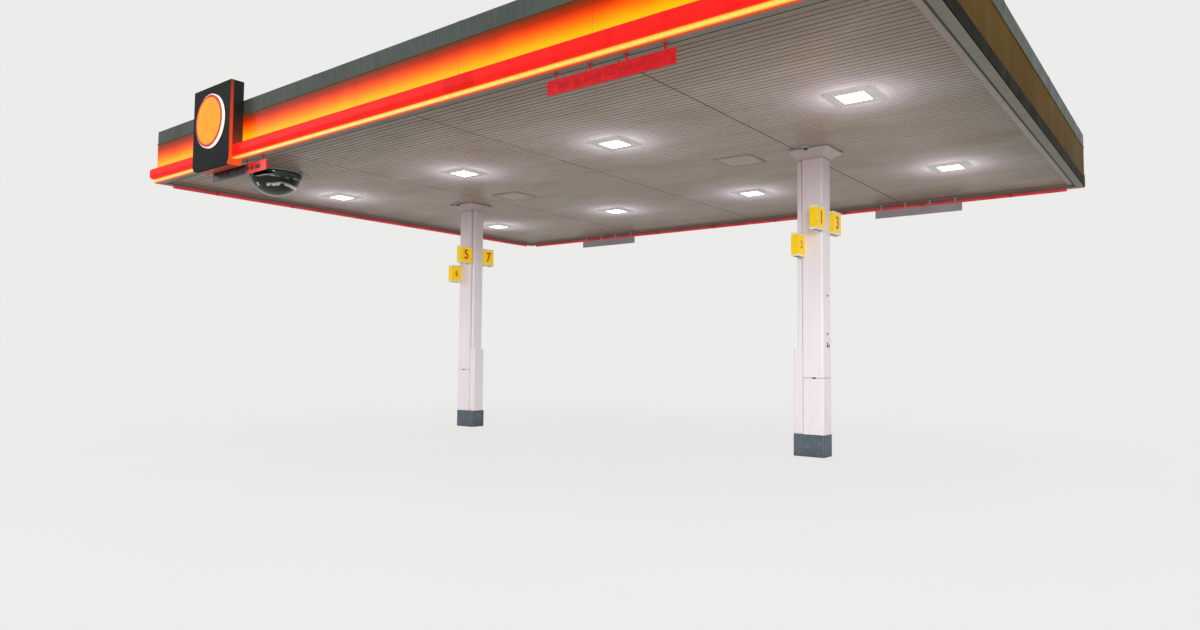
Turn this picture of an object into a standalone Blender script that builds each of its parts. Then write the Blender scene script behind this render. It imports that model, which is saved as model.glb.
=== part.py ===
# Filling station canopy: a flat roof with lit fascias on two clad columns.
# Metres, +Z up. The origin is on the ground midway between the columns,
# +X runs along the long front towards the right, -Y is the front.
import math

import bmesh
import bpy
from mathutils import Matrix

# Clearances
SEAT_GAP = 0.0003          # between pieces that rest against each other
SEAM_GAP = 0.006           # open joint between soffit sections
SHADOW_GAP = 0.020         # dark line between soffit and fascia return
GROOVE_WIDTH = 0.010       # upright groove between casing and duct

# Main sizes
ROOF_LENGTH = 13.17        # over the side fascia panels
ROOF_DEPTH = 9.85          # over the front and back fascia panels
CLEAR_HEIGHT = 4.50        # ground to the soffit planks
COLUMN_SPACING = 7.41      # between the centres of the two casings

# Soffit and deck
SOFFIT_THICK = 0.030
SEAM_MIDDLE_X = 0.28       # the middle cross seam of three
SEAM_PITCH = 3.22
DECK_RECESS = 0.320        # coping's top down to the deck
DECK_THICK = 0.100         # over the ribs, with the beams below the sheet
RIB_PITCH = 0.500
RIB_HEIGHT = 0.035
RIB_FOOT = 0.050           # half a rib's width at its foot
RIB_CREST = 0.022          # and at its top

# Fascia and coping sections
FASCIA_DROP = 0.040        # fascia's underside below the soffit
FASCIA_HEIGHT = 0.690
FASCIA_WALL = 0.030
RETURN_WIDTH = 0.110       # underside of the fascia, from panel to shadow gap
LEDGE_WIDTH = 0.125        # inner ledge that the soffit hangs from
LEDGE_THICK = 0.030
COPING_RISE = 0.240        # top band above the fascia
COPING_WIDTH = 0.140
COPING_WALL = 0.020

# Light bar section: a round-nosed lens above a slim strip
STRIP_DROP = 0.005         # strip's underside below the fascia's
STRIP_HEIGHT = 0.070
STRIP_REACH = 0.040
STRIP_RADIUS = 0.014
BAR_HEIGHT = 0.180
BAR_REACH = 0.115          # how far the nose stands out from the panel
BAR_RADIUS = 0.055
ARC_STEPS = 6
BAND_REACH = 0.012         # flat unlit band, in the bar's place on the right side
BAND_HEIGHT = 0.160

# Edge tubes under the back and left returns
TUBE_RADIUS = 0.028
TUBE_INSET = 0.071         # tube's centre line, inward from the panel's face
TUBE_END_GAP = 0.255       # the tube stops this far short of each corner
TUBE_SIDES = 12

# Columns
CASING_SIZE = (0.325, 0.310)
CASING_RADIUS = 0.035
CORNER_STEPS = 5
JOINT_LEVEL = 1.140        # level joint across the casing
JOINT_HEIGHT = 0.008
JOINT_DEPTH = 0.005
DUCT_SIZE = (0.075, 0.230)
DUCT_RADIUS = 0.020
GUARD_SIZE = (0.140, 0.250)
GUARD_TOP = 1.550
KICK_TOP = 0.320
KICK_PROUD = 0.005
CAPITAL_TOP_SIZE = 0.600
CAPITAL_HEIGHT = 0.140
CAPITAL_LIP = 0.010        # foot of the capital, proud of casing and duct
CAPITAL_BEVEL = 0.012

# Small dome camera in front of each capital
CAMERA_RADIUS = 0.055
CAMERA_DROP = 0.065
CAMERA_GAP = 0.012         # between the camera's rim and the capital
CAMERA_SIDES = 24

# Number signs, two on the front and two on the back of each column
SIGN_FACE = (0.120, 0.350)  # width and height
SIGN_BEVEL = 0.008
# sideways offset from the column, height of centre, depth
SIGN_UPPER = (0.150, 3.440, 0.300)
SIGN_LOWER = (-0.165, 3.080, 0.235)

# Downlights, in two rows of four
LIGHT_OUTER_SPACING = 10.13
LIGHT_INNER_SPACING = 3.16
LIGHT_ROW_SPACING = 4.28
BEZEL_SIZE = 0.620
BEZEL_THICK = 0.028
BEZEL_BEVEL = 0.008
LENS_SIZE = 0.300
LENS_RECESS = 0.012
LENS_SLOPE = 0.030

# Access hatches in the soffit
HATCH_CENTRES = ((-2.28, -0.22), (2.54, -0.16))
HATCH_SIZE = (0.620, 0.580)
HATCH_THICK = 0.010
HATCH_FRAME = 0.035
HATCH_STEP = 0.005

# Clearance boards hung under the edges
BOARD_SIZE = (1.630, 0.024, 0.155)
BOARD_DROP = 0.110         # soffit down to the board's top edge
BOARD_CENTRES = {"front_left": -3.82, "front_right": 3.515,
                 "back_left": -3.78, "back_right": 3.80}
FRONT_BOARD_INSET = 0.071  # board's middle, inward from the panel's face
BACK_BOARD_INSET = 0.160
HANGER_COUNT = 4
HANGER_SIZE = (0.030, 0.010)
HANGER_MARGIN = 0.120      # end hangers' centres, in from the board's ends
HANGER_LAP = 0.020

# Corner sign on the front fascia
BOX_FROM_CORNER = 2.387    # box's middle, along the front from the left corner
BOX_WIDTH = 1.180
BOX_HEIGHT = 1.325
BOX_DROP = 0.145           # box's lower edge below the soffit
BOX_RADIUS = 0.110
BOX_PROUD = 0.097          # box's front, ahead of the light bar's nose
BOX_CLEARANCE = 0.010      # round the light bar, where it passes through the box
BOX_FRONT_WALL = 0.025
BOX_WALL = 0.012
EMBLEM_RADIUS = 0.430
EMBLEM_THICK = 0.050
EMBLEM_BEVEL = 0.010
EMBLEM_RISE = 0.755        # emblem's middle above the box's lower edge
EMBLEM_SIDES = 48

# Dome mirror under the soffit, measured in from the front left corner
MIRROR_FROM_CORNER = (2.385, 0.905)
MIRROR_RADIUS = 0.435
MIRROR_DROP = 0.400
MIRROR_RIM = 0.022
MIRROR_SIDES = 40
MIRROR_STEPS = 9

# Places that follow from the sizes above
PANEL_X = ROOF_LENGTH / 2
PANEL_Y = ROOF_DEPTH / 2
FASCIA_BOTTOM = CLEAR_HEIGHT - FASCIA_DROP
FASCIA_TOP = FASCIA_BOTTOM + FASCIA_HEIGHT
COPING_TOP = FASCIA_TOP + COPING_RISE
DECK_TOP = COPING_TOP - DECK_RECESS
STRIP_BOTTOM = FASCIA_BOTTOM - STRIP_DROP
BAR_BOTTOM = STRIP_BOTTOM + STRIP_HEIGHT
BAR_TOP = BAR_BOTTOM + BAR_HEIGHT
UNDER_SOFFIT = CLEAR_HEIGHT - SEAT_GAP
CAPITAL_BOTTOM = UNDER_SOFFIT - CAPITAL_HEIGHT
BOX_X = BOX_FROM_CORNER - PANEL_X
BOX_BOTTOM = CLEAR_HEIGHT - BOX_DROP
BOX_FRONT_Y = -(PANEL_Y + BAR_REACH + BOX_PROUD)
BOARD_TOP = CLEAR_HEIGHT - BOARD_DROP
# inward from the panel's face, and what the hangers reach up to
BOARD_HANGS = {"front": (FRONT_BOARD_INSET, FASCIA_BOTTOM),
               "back": (BACK_BOARD_INSET, CLEAR_HEIGHT)}

# Finishes: colour, roughness, metallic
FINISHES = {
    "soffit_white": ("C9C4C0", 0.45, 0.0),
    "fascia_yellow": ("F5B81C", 0.35, 0.0),
    "coping_grey": ("8E9490", 0.45, 0.6),
    "lens_red": ("E0201B", 0.20, 0.0),
    "tube_red": ("C9252A", 0.20, 0.0),
    "deck_grey": ("8A8C8C", 0.60, 0.3),
    "lamp_white": ("F4F2EE", 0.30, 0.0),
    "hatch_white": ("BDB8B4", 0.45, 0.0),
    "board_red": ("C4161C", 0.40, 0.0),
    "board_grey": ("9A9DA0", 0.45, 0.0),
    "plate_charcoal": ("262B2A", 0.40, 0.0),
    "emblem_yellow": ("F6A81A", 0.30, 0.0),
    "mirror_silver": ("B9BDBE", 0.08, 1.0),
    "casing_white": ("E6E3E4", 0.35, 0.0),
    "kick_blue_grey": ("55616C", 0.50, 0.0),
    "sign_yellow": ("FFD21C", 0.35, 0.0),
    "camera_grey": ("6E7072", 0.30, 0.0),
}


def linear(hex_colour):
    """sRGB hex to linear red, green and blue."""
    values = [int(hex_colour[i:i + 2], 16) / 255 for i in (0, 2, 4)]
    return [v / 12.92 if v <= 0.04045 else ((v + 0.055) / 1.055) ** 2.4 for v in values]


def clear_scene():
    for old in list(bpy.data.objects):
        bpy.data.objects.remove(old, do_unlink=True)


def make_collections():
    parts = bpy.data.collections.new("filling_station_canopy")
    cutters = bpy.data.collections.new("cutters")
    for collection in (parts, cutters):
        bpy.context.scene.collection.children.link(collection)
    return parts, cutters


def finish(slot):
    material = bpy.data.materials.get(slot)
    if material is None:
        colour, roughness, metallic = FINISHES[slot]
        material = bpy.data.materials.new(slot)
        material.use_nodes = True
        shader = material.node_tree.nodes["Principled BSDF"]
        shader.inputs["Base Color"].default_value = linear(colour) + [1.0]
        shader.inputs["Roughness"].default_value = roughness
        shader.inputs["Metallic"].default_value = metallic
    return material


def place(bm, name, slot):
    """Turn a bmesh into a named object in the parts collection."""
    bmesh.ops.recalc_face_normals(bm, faces=bm.faces)
    mesh = bpy.data.meshes.new(name)
    bm.to_mesh(mesh)
    bm.free()
    piece = bpy.data.objects.new(name, mesh)
    piece.data.materials.append(finish(slot))
    PARTS.objects.link(piece)
    return piece


# Shapes

def block(low, high):
    """A bmesh box between two corners."""
    bm = bmesh.new()
    size = [h - l for l, h in zip(low, high)]
    centre = [(l + h) / 2 for l, h in zip(low, high)]
    bmesh.ops.create_cube(bm, size=1.0)
    bmesh.ops.scale(bm, vec=size, verts=bm.verts)
    bmesh.ops.translate(bm, vec=centre, verts=bm.verts)
    return bm


def bevel(bm, edges, width, segments=1):
    bmesh.ops.bevel(bm, geom=list(edges), offset=width, segments=segments, profile=0.5,
                    affect="EDGES", material=-1)


def arc(centre, radius, start, end, steps):
    """Points on an arc in degrees, ends included."""
    turns = [math.radians(start + (end - start) * i / steps) for i in range(steps + 1)]
    return [(centre[0] + radius * math.cos(t), centre[1] + radius * math.sin(t)) for t in turns]


def rounded_rectangle(width, depth, radius, steps):
    x = width / 2 - radius
    y = depth / 2 - radius
    corners = (((x, y), 0), ((-x, y), 90), ((-x, -y), 180), ((x, -y), 270))
    return [p for c, a in corners for p in arc(c, radius, a, a + 90, steps)]


def stacked(levels):
    """A closed solid through a stack of like outlines, each given with its height."""
    bm = bmesh.new()
    outline, height = levels[0]
    base = bm.faces.new([bm.verts.new((x, y, height)) for x, y in outline])
    face = base
    for outline, height in levels[1:]:
        grown = bmesh.ops.extrude_face_region(bm, geom=[face])["geom"]
        if face is not base:
            bmesh.ops.delete(bm, geom=[face], context="FACES_ONLY")
        face = next(g for g in grown if isinstance(g, bmesh.types.BMFace))
        for vert, (x, y) in zip(face.verts, outline):
            vert.co = (x, y, height)
    return bm


def combine(piece, operation, others):
    """Fuse helpers into a piece, or cut them from it."""
    for other in others:
        step = piece.modifiers.new(other.name, "BOOLEAN")
        step.operation = operation
        step.solver = "EXACT"
        step.object = other


def helper(bm, name):
    """A shape to fuse into a piece or cut from it, kept out of the render."""
    bmesh.ops.recalc_face_normals(bm, faces=bm.faces)
    mesh = bpy.data.meshes.new(name)
    bm.to_mesh(mesh)
    bm.free()
    guide = bpy.data.objects.new(name, mesh)
    guide.hide_render = True
    guide.display_type = "WIRE"
    CUTTERS.objects.link(guide)
    return guide


def edge_run(name, slot, side, section, square_ends=()):
    """An edge section, given as (outward, height) points, along one side.

    The ends are mitred at the roof's corners, half a seat gap short. Those in
    square_ends, -1 for the start and 1 for the far end, are cut square."""
    half_run, distance, turn = SIDES[side]
    bm = bmesh.new()
    ring = [bm.verts.new((0.0, -out, z)) for out, z in section]
    grown = bmesh.ops.extrude_face_region(bm, geom=[bm.faces.new(ring)])["geom"]
    far_end = [v for v in grown if isinstance(v, bmesh.types.BMVert)]
    for verts, sign in ((ring, -1), (far_end, 1)):
        for vert in verts:
            splay = 0 if sign in square_ends else -vert.co.y
            vert.co.x = sign * (half_run + splay - SEAT_GAP)
    move = Matrix.Rotation(math.radians(turn), 4, "Z") @ Matrix.Translation((0, -distance, 0))
    bmesh.ops.transform(bm, matrix=move, verts=bm.verts)
    return place(bm, name + "_" + side, slot)


# Half the run, the panel's distance from the centre, and the turn about Z
SIDES = {
    "front": (PANEL_X, PANEL_Y, 0),
    "right": (PANEL_Y, PANEL_X, 90),
    "back": (PANEL_X, PANEL_Y, 180),
    "left": (PANEL_Y, PANEL_X, 270),
}


# Roof

def make_soffit():
    edge_x = PANEL_X - RETURN_WIDTH - SHADOW_GAP
    edge_y = PANEL_Y - RETURN_WIDTH - SHADOW_GAP
    seams = [SEAM_MIDDLE_X + step * SEAM_PITCH for step in (-1, 0, 1)]
    stops = [-edge_x - SEAM_GAP / 2] + seams + [edge_x + SEAM_GAP / 2]
    for number in range(len(stops) - 1):
        low = (stops[number] + SEAM_GAP / 2, -edge_y, CLEAR_HEIGHT)
        high = (stops[number + 1] - SEAM_GAP / 2, edge_y, CLEAR_HEIGHT + SOFFIT_THICK)
        place(block(low, high), "soffit_%d" % (number + 1), "soffit_white")


def fascia_section():
    ledge_z = CLEAR_HEIGHT + SOFFIT_THICK + SEAT_GAP
    ledge_end = -RETURN_WIDTH - LEDGE_WIDTH
    return [(0, FASCIA_BOTTOM), (0, FASCIA_TOP), (-FASCIA_WALL, FASCIA_TOP),
            (-FASCIA_WALL, ledge_z + LEDGE_THICK), (ledge_end, ledge_z + LEDGE_THICK),
            (ledge_end, ledge_z), (-RETURN_WIDTH, ledge_z), (-RETURN_WIDTH, FASCIA_BOTTOM)]


def coping_section():
    foot = FASCIA_TOP + SEAT_GAP
    inner_foot = DECK_TOP + SEAT_GAP
    under_top = COPING_TOP - COPING_WALL
    return [(0, foot), (0, COPING_TOP), (-COPING_WIDTH, COPING_TOP),
            (-COPING_WIDTH, inner_foot), (COPING_WALL - COPING_WIDTH, inner_foot),
            (COPING_WALL - COPING_WIDTH, under_top), (-FASCIA_WALL, under_top),
            (-FASCIA_WALL, foot)]


def light_bar_section():
    back = SEAT_GAP
    nose_x = BAR_REACH - BAR_RADIUS
    strip_x = STRIP_REACH - STRIP_RADIUS
    section = [(back, STRIP_BOTTOM)]
    section += arc((strip_x, STRIP_BOTTOM + STRIP_RADIUS), STRIP_RADIUS, -90, 0, ARC_STEPS)
    section += [(STRIP_REACH, BAR_BOTTOM)]
    section += arc((nose_x, BAR_BOTTOM + BAR_RADIUS), BAR_RADIUS, -90, 0, ARC_STEPS)
    section += arc((nose_x, BAR_TOP - BAR_RADIUS), BAR_RADIUS, 0, 90, ARC_STEPS)
    section += [(back, BAR_TOP)]
    return section


def make_edges():
    """The light bar stops square at the right side, which has a flat band instead."""
    for side in SIDES:
        edge_run("fascia", "fascia_yellow", side, fascia_section())
        edge_run("coping", "coping_grey", side, coping_section())
    for side, square_ends in (("front", (1,)), ("left", ()), ("back", (-1,))):
        edge_run("light_bar", "lens_red", side, light_bar_section(), square_ends)
    band = [(SEAT_GAP, FASCIA_BOTTOM), (BAND_REACH, FASCIA_BOTTOM),
            (BAND_REACH, FASCIA_BOTTOM + BAND_HEIGHT),
            (SEAT_GAP, FASCIA_BOTTOM + BAND_HEIGHT)]
    edge_run("light_bar", "plate_charcoal", "right", band, (-1, 1))


def make_edge_tube(side):
    half_run, distance, turn = SIDES[side]
    length = 2 * (half_run - TUBE_END_GAP)
    lie_down = Matrix.Rotation(math.radians(90), 4, "Y")
    bm = bmesh.new()
    bmesh.ops.create_cone(bm, segments=TUBE_SIDES, radius1=TUBE_RADIUS, radius2=TUBE_RADIUS,
                          depth=length, cap_ends=True, matrix=lie_down)
    lift = FASCIA_BOTTOM - SEAT_GAP - TUBE_RADIUS
    move = (Matrix.Rotation(math.radians(turn), 4, "Z")
            @ Matrix.Translation((0, TUBE_INSET - distance, lift)))
    bmesh.ops.transform(bm, matrix=move, verts=bm.verts)
    place(bm, "edge_tube_" + side, "tube_red")


def make_deck():
    """One ribbed profile, drawn across the roof and pushed from front to back."""
    x = PANEL_X - FASCIA_WALL - SEAT_GAP
    y = PANEL_Y - FASCIA_WALL - SEAT_GAP
    bottom = DECK_TOP - DECK_THICK
    pan = DECK_TOP - RIB_HEIGHT
    outline = [(-x, bottom), (-x, pan)]
    count = round(2 * x / RIB_PITCH)
    for number in range(count):
        middle = x * ((2 * number + 1) / count - 1)
        outline += [(middle - RIB_FOOT, pan), (middle - RIB_CREST, DECK_TOP),
                    (middle + RIB_CREST, DECK_TOP), (middle + RIB_FOOT, pan)]
    outline += [(x, pan), (x, bottom)]
    bm = stacked([(outline, -y), (outline, y)])
    bmesh.ops.rotate(bm, matrix=Matrix.Rotation(math.radians(90), 3, "X"), verts=bm.verts)
    place(bm, "roof_deck", "deck_grey")


# Soffit fittings

def lowest_face(bm):
    return min(bm.faces, key=lambda face: face.calc_center_median().z)


def make_downlight(number, x, y):
    half = BEZEL_SIZE / 2
    bm = block((x - half, y - half, UNDER_SOFFIT - BEZEL_THICK), (x + half, y + half, UNDER_SOFFIT))
    bevel(bm, lowest_face(bm).edges, BEZEL_BEVEL)
    face = lowest_face(bm)
    frame = half - BEZEL_BEVEL - LENS_SIZE / 2 - LENS_SLOPE
    bmesh.ops.inset_individual(bm, faces=[face], thickness=frame, depth=0.0)
    bmesh.ops.inset_individual(bm, faces=[face], thickness=LENS_SLOPE, depth=-LENS_RECESS)
    place(bm, "downlight_%d" % number, "lamp_white")


def make_downlights():
    outer = LIGHT_OUTER_SPACING / 2
    inner = LIGHT_INNER_SPACING / 2
    row = LIGHT_ROW_SPACING / 2
    spots = [(x, y) for y in (-row, row) for x in (-outer, -inner, inner, outer)]
    for number, (x, y) in enumerate(spots, 1):
        make_downlight(number, x, y)


def make_hatches():
    for number, (x, y) in enumerate(HATCH_CENTRES, 1):
        low = (x - HATCH_SIZE[0] / 2, y - HATCH_SIZE[1] / 2, UNDER_SOFFIT - HATCH_THICK)
        high = (x + HATCH_SIZE[0] / 2, y + HATCH_SIZE[1] / 2, UNDER_SOFFIT)
        bm = block(low, high)
        bmesh.ops.inset_individual(bm, faces=[lowest_face(bm)], thickness=HATCH_FRAME, depth=0.0)
        door = min(bm.faces, key=lambda f: (round(f.calc_center_median().z, 6), f.calc_area()))
        bmesh.ops.translate(bm, vec=(0, 0, HATCH_STEP), verts=door.verts)
        place(bm, "hatch_%d" % number, "hatch_white")


def make_board(spot, centre_x):
    side = spot.split("_")[0]
    sign = -1 if side == "front" else 1
    inset, carrier_z = BOARD_HANGS[side]
    y = sign * (PANEL_Y - inset)
    width, thick, height = BOARD_SIZE
    low = (centre_x - width / 2, y - thick / 2, BOARD_TOP - height)
    high = (centre_x + width / 2, y + thick / 2, BOARD_TOP)
    slot = "board_red" if side == "front" else "board_grey"
    board = place(block(low, high), "clearance_board_" + spot, slot)
    first = centre_x - width / 2 + HANGER_MARGIN
    pitch = (width - 2 * HANGER_MARGIN) / (HANGER_COUNT - 1)
    hangers = []
    for number in range(HANGER_COUNT):
        x = first + number * pitch
        strap = block((x - HANGER_SIZE[0] / 2, y - HANGER_SIZE[1] / 2, BOARD_TOP - HANGER_LAP),
                      (x + HANGER_SIZE[0] / 2, y + HANGER_SIZE[1] / 2, carrier_z - SEAT_GAP))
        hangers.append(helper(strap, "hanger_%s_%d" % (spot, number + 1)))
    combine(board, "UNION", hangers)


def make_mirror():
    """A turned dome: a short upright rim, then a shallow bowl below it."""
    centre = (MIRROR_FROM_CORNER[0] - PANEL_X, MIRROR_FROM_CORNER[1] - PANEL_Y)
    bowl = MIRROR_DROP - MIRROR_RIM
    profile = [(0, 0), (MIRROR_RADIUS, 0)]
    profile += [(MIRROR_RADIUS * math.cos(t), -MIRROR_RIM - bowl * math.sin(t))
                for t in (math.pi / 2 * i / MIRROR_STEPS for i in range(MIRROR_STEPS))]
    profile += [(0, -MIRROR_DROP)]
    turned("dome_mirror", "mirror_silver", profile, MIRROR_SIDES, (*centre, UNDER_SOFFIT))


def turned(name, slot, profile, sides, spot):
    """Turn a profile of (radius, height) points, listed top to bottom."""
    mesh = bpy.data.meshes.new(name)
    edges = [(i, i + 1) for i in range(len(profile) - 1)]
    mesh.from_pydata([(r, 0, z) for r, z in profile], edges, [])
    piece = bpy.data.objects.new(name, mesh)
    piece.data.materials.append(finish(slot))
    piece.location = spot
    screw = piece.modifiers.new("turn", "SCREW")
    screw.axis = "Z"
    screw.steps = sides
    screw.render_steps = sides
    screw.use_merge_vertices = True
    screw.merge_threshold = 0.0001
    PARTS.objects.link(piece)
    return piece


# Corner sign

def make_corner_sign():
    """A box from ahead of the light bar back to the panel, with rounded lower corners.

    A channel lets the bar and its strip pass through. The box above the channel
    is a shell that is open down into it."""
    half = BOX_WIDTH / 2
    outline = [(-half, BOX_HEIGHT), (-half, BOX_RADIUS)]
    outline += arc((BOX_RADIUS - half, BOX_RADIUS), BOX_RADIUS, 180, 270, ARC_STEPS)[1:]
    outline += arc((half - BOX_RADIUS, BOX_RADIUS), BOX_RADIUS, 270, 360, ARC_STEPS)
    outline += [(half, BOX_HEIGHT)]
    back = -PANEL_Y - SEAT_GAP
    stand_up = (Matrix.Translation((BOX_X, back, BOX_BOTTOM))
                @ Matrix.Rotation(math.radians(90), 4, "X"))
    bm = stacked([(outline, 0.0), (outline, back - BOX_FRONT_Y)])
    bmesh.ops.transform(bm, matrix=stand_up, verts=bm.verts)
    box = place(bm, "corner_sign", "plate_charcoal")
    channel_top = BAR_TOP + BOX_CLEARANCE
    channel = block((BOX_X - BOX_WIDTH, -PANEL_Y - BAR_REACH - BOX_CLEARANCE,
                     STRIP_BOTTOM - BOX_CLEARANCE), (BOX_X + BOX_WIDTH, 0, channel_top))
    hollow = block((BOX_X - half + BOX_WALL, BOX_FRONT_Y + BOX_FRONT_WALL, BAR_TOP),
                   (BOX_X + half - BOX_WALL, back - BOX_WALL,
                    BOX_BOTTOM + BOX_HEIGHT - BOX_WALL))
    combine(box, "DIFFERENCE", [helper(channel, "sign_channel"), helper(hollow, "sign_hollow")])


def make_emblem():
    """A plain round lamp face on the corner sign."""
    face_on = Matrix.Rotation(math.radians(90), 4, "X")
    middle = BOX_FRONT_Y - SEAT_GAP - EMBLEM_THICK / 2
    centre_z = BOX_BOTTOM + EMBLEM_RISE
    bm = bmesh.new()
    bmesh.ops.create_cone(bm, segments=EMBLEM_SIDES, radius1=EMBLEM_RADIUS,
                          radius2=EMBLEM_RADIUS, depth=EMBLEM_THICK, cap_ends=True,
                          matrix=Matrix.Translation((BOX_X, middle, centre_z)) @ face_on)
    front = min(bm.faces, key=lambda face: face.calc_center_median().y)
    bevel(bm, front.edges, EMBLEM_BEVEL)
    place(bm, "corner_emblem", "emblem_yellow")


# Columns

def upright(name, slot, size, radius, centre, bottom, top):
    outline = rounded_rectangle(*size, radius, CORNER_STEPS)
    bm = stacked([(outline, bottom), (outline, top)])
    bmesh.ops.translate(bm, vec=(*centre, 0), verts=bm.verts)
    return place(bm, name, slot)


def make_casing(name, x, bottom, top):
    """The main casing, with a sunk joint all round where its sheets meet."""
    full = rounded_rectangle(*CASING_SIZE, CASING_RADIUS, CORNER_STEPS)
    sunk = rounded_rectangle(*[s - 2 * JOINT_DEPTH for s in CASING_SIZE],
                             CASING_RADIUS - JOINT_DEPTH, CORNER_STEPS)
    under = JOINT_LEVEL - JOINT_HEIGHT / 2
    over = JOINT_LEVEL + JOINT_HEIGHT / 2
    bm = stacked([(full, bottom), (full, under), (sunk, under), (sunk, over), (full, over),
                  (full, top)])
    bmesh.ops.translate(bm, vec=(x, 0, 0), verts=bm.verts)
    place(bm, name, "casing_white")


def make_capital(name, x, direction):
    """A skirt that flares from the outline of casing and duct to a square top."""
    half = CAPITAL_TOP_SIZE / 2
    bm = block((x - half, -half, CAPITAL_BOTTOM), (x + half, half, UNDER_SOFFIT))
    foot = [v for v in bm.verts if v.co.z < CAPITAL_BOTTOM + CAPITAL_HEIGHT / 2]
    duct_reach = GROOVE_WIDTH + DUCT_SIZE[0]
    foot_x = CASING_SIZE[0] + duct_reach + 2 * CAPITAL_LIP
    foot_y = CASING_SIZE[1] + 2 * CAPITAL_LIP
    bmesh.ops.scale(bm, vec=(foot_x / (2 * half), foot_y / (2 * half), 1), verts=foot,
                    space=Matrix.Translation((-x, 0, 0)))
    bmesh.ops.translate(bm, vec=(-direction * duct_reach / 2, 0, 0), verts=foot)
    slanted = [e for e in bm.edges if abs(e.verts[0].co.z - e.verts[1].co.z) > SEAT_GAP]
    bevel(bm, slanted, CAPITAL_BEVEL, 2)
    place(bm, name, "casing_white")


def make_camera(name, x):
    y = -(CAPITAL_TOP_SIZE / 2 + CAMERA_GAP + CAMERA_RADIUS)
    half_drop = CAMERA_DROP / 2
    dome = [(CAMERA_RADIUS * math.cos(t), -half_drop - half_drop * math.sin(t))
            for t in (math.pi / 2 * i / ARC_STEPS for i in range(ARC_STEPS))]
    profile = [(0, 0), (CAMERA_RADIUS, 0)] + dome + [(0, -CAMERA_DROP)]
    turned(name, "camera_grey", profile, CAMERA_SIDES, (x, y, UNDER_SOFFIT))


def make_sign(number, column_x, side, place_in_pair):
    offset, height, deep = place_in_pair
    wide, tall = SIGN_FACE
    x = column_x + offset
    near = CASING_SIZE[1] / 2 + SEAT_GAP
    low_y, high_y = sorted((side * near, side * (near + deep)))
    bm = block((x - wide / 2, low_y, height - tall / 2), (x + wide / 2, high_y, height + tall / 2))
    bevel(bm, bm.edges, SIGN_BEVEL)
    place(bm, "number_sign_%d" % number, "sign_yellow")


def make_column(name, direction, first_number):
    """direction is +1 for the right column and -1 for the left one."""
    x = direction * COLUMN_SPACING / 2
    casing_bottom = KICK_TOP + SEAT_GAP
    casing_top = CAPITAL_BOTTOM - SEAT_GAP
    make_casing("casing_" + name, x, casing_bottom, casing_top)
    face = x - direction * (CASING_SIZE[0] / 2)
    duct_x = face - direction * (GROOVE_WIDTH + DUCT_SIZE[0] / 2)
    guard_x = face - direction * (SEAT_GAP + GUARD_SIZE[0] / 2)
    upright("guard_" + name, "casing_white", GUARD_SIZE, DUCT_RADIUS, (guard_x, 0),
            casing_bottom, GUARD_TOP)
    upright("duct_" + name, "casing_white", DUCT_SIZE, DUCT_RADIUS, (duct_x, 0),
            GUARD_TOP + SEAT_GAP, casing_top)

    kick_width = CASING_SIZE[0] + SEAT_GAP + GUARD_SIZE[0] + 2 * KICK_PROUD
    kick_x = x - direction * (SEAT_GAP + GUARD_SIZE[0]) / 2
    upright("kick_plate_" + name, "kick_blue_grey",
            (kick_width, CASING_SIZE[1] + 2 * KICK_PROUD), CASING_RADIUS, (kick_x, 0),
            0.0, KICK_TOP)
    make_capital("capital_" + name, x, direction)
    make_camera("camera_" + name, x)
    number = first_number
    for side in (-1, 1):
        for spot in (SIGN_UPPER, SIGN_LOWER):
            make_sign(number, x, side, spot)
            number += 1


def build():
    make_soffit()
    make_edges()
    for side in ("back", "left"):
        make_edge_tube(side)
    make_deck()
    make_downlights()
    make_hatches()
    for spot, centre_x in BOARD_CENTRES.items():
        make_board(spot, centre_x)
    make_corner_sign()
    make_emblem()
    make_mirror()
    make_column("right", 1, 1)
    make_column("left", -1, 5)


clear_scene()
PARTS, CUTTERS = make_collections()
build()
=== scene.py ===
import math

import bmesh
import bpy
from mathutils import Matrix, Vector


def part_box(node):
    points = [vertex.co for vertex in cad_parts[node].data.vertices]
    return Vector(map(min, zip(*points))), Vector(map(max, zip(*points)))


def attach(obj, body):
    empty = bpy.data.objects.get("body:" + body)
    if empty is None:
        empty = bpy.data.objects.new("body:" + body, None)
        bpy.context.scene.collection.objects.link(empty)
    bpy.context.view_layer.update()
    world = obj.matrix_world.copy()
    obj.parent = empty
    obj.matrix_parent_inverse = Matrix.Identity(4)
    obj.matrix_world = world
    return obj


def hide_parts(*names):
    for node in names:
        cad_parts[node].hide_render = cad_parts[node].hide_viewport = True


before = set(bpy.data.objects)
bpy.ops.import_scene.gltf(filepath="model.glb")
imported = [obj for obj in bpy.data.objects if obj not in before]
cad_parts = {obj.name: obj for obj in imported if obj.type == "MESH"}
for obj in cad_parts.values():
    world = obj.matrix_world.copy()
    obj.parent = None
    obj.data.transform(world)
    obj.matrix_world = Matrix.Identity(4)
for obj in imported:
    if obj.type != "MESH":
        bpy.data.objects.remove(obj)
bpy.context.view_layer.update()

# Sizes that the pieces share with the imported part
PANEL_X = 6.585
PANEL_Y = 4.925
SOFFIT_Z = 4.50
FASCIA_BOTTOM = 4.46
FASCIA_TOP = 5.15
COPING_TOP = 5.39
STRIP_BOTTOM = 4.455
BAR_BOTTOM = 4.525
BAR_TOP = 4.705
DECK_TOP = 5.07
TOUCH = 0.0003             # between pieces that rest against each other
DOWN = (0, 0, -1)

# Half the run, the panel's distance from the centre, and the turn about Z
SIDES = {
    "front": (PANEL_X, PANEL_Y, 0),
    "right": (PANEL_Y, PANEL_X, 90),
    "back": (PANEL_X, PANEL_Y, 180),
    "left": (PANEL_Y, PANEL_X, 270),
}
LIT_SIDES = ("front", "back", "left")


# Colours and nodes

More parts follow.
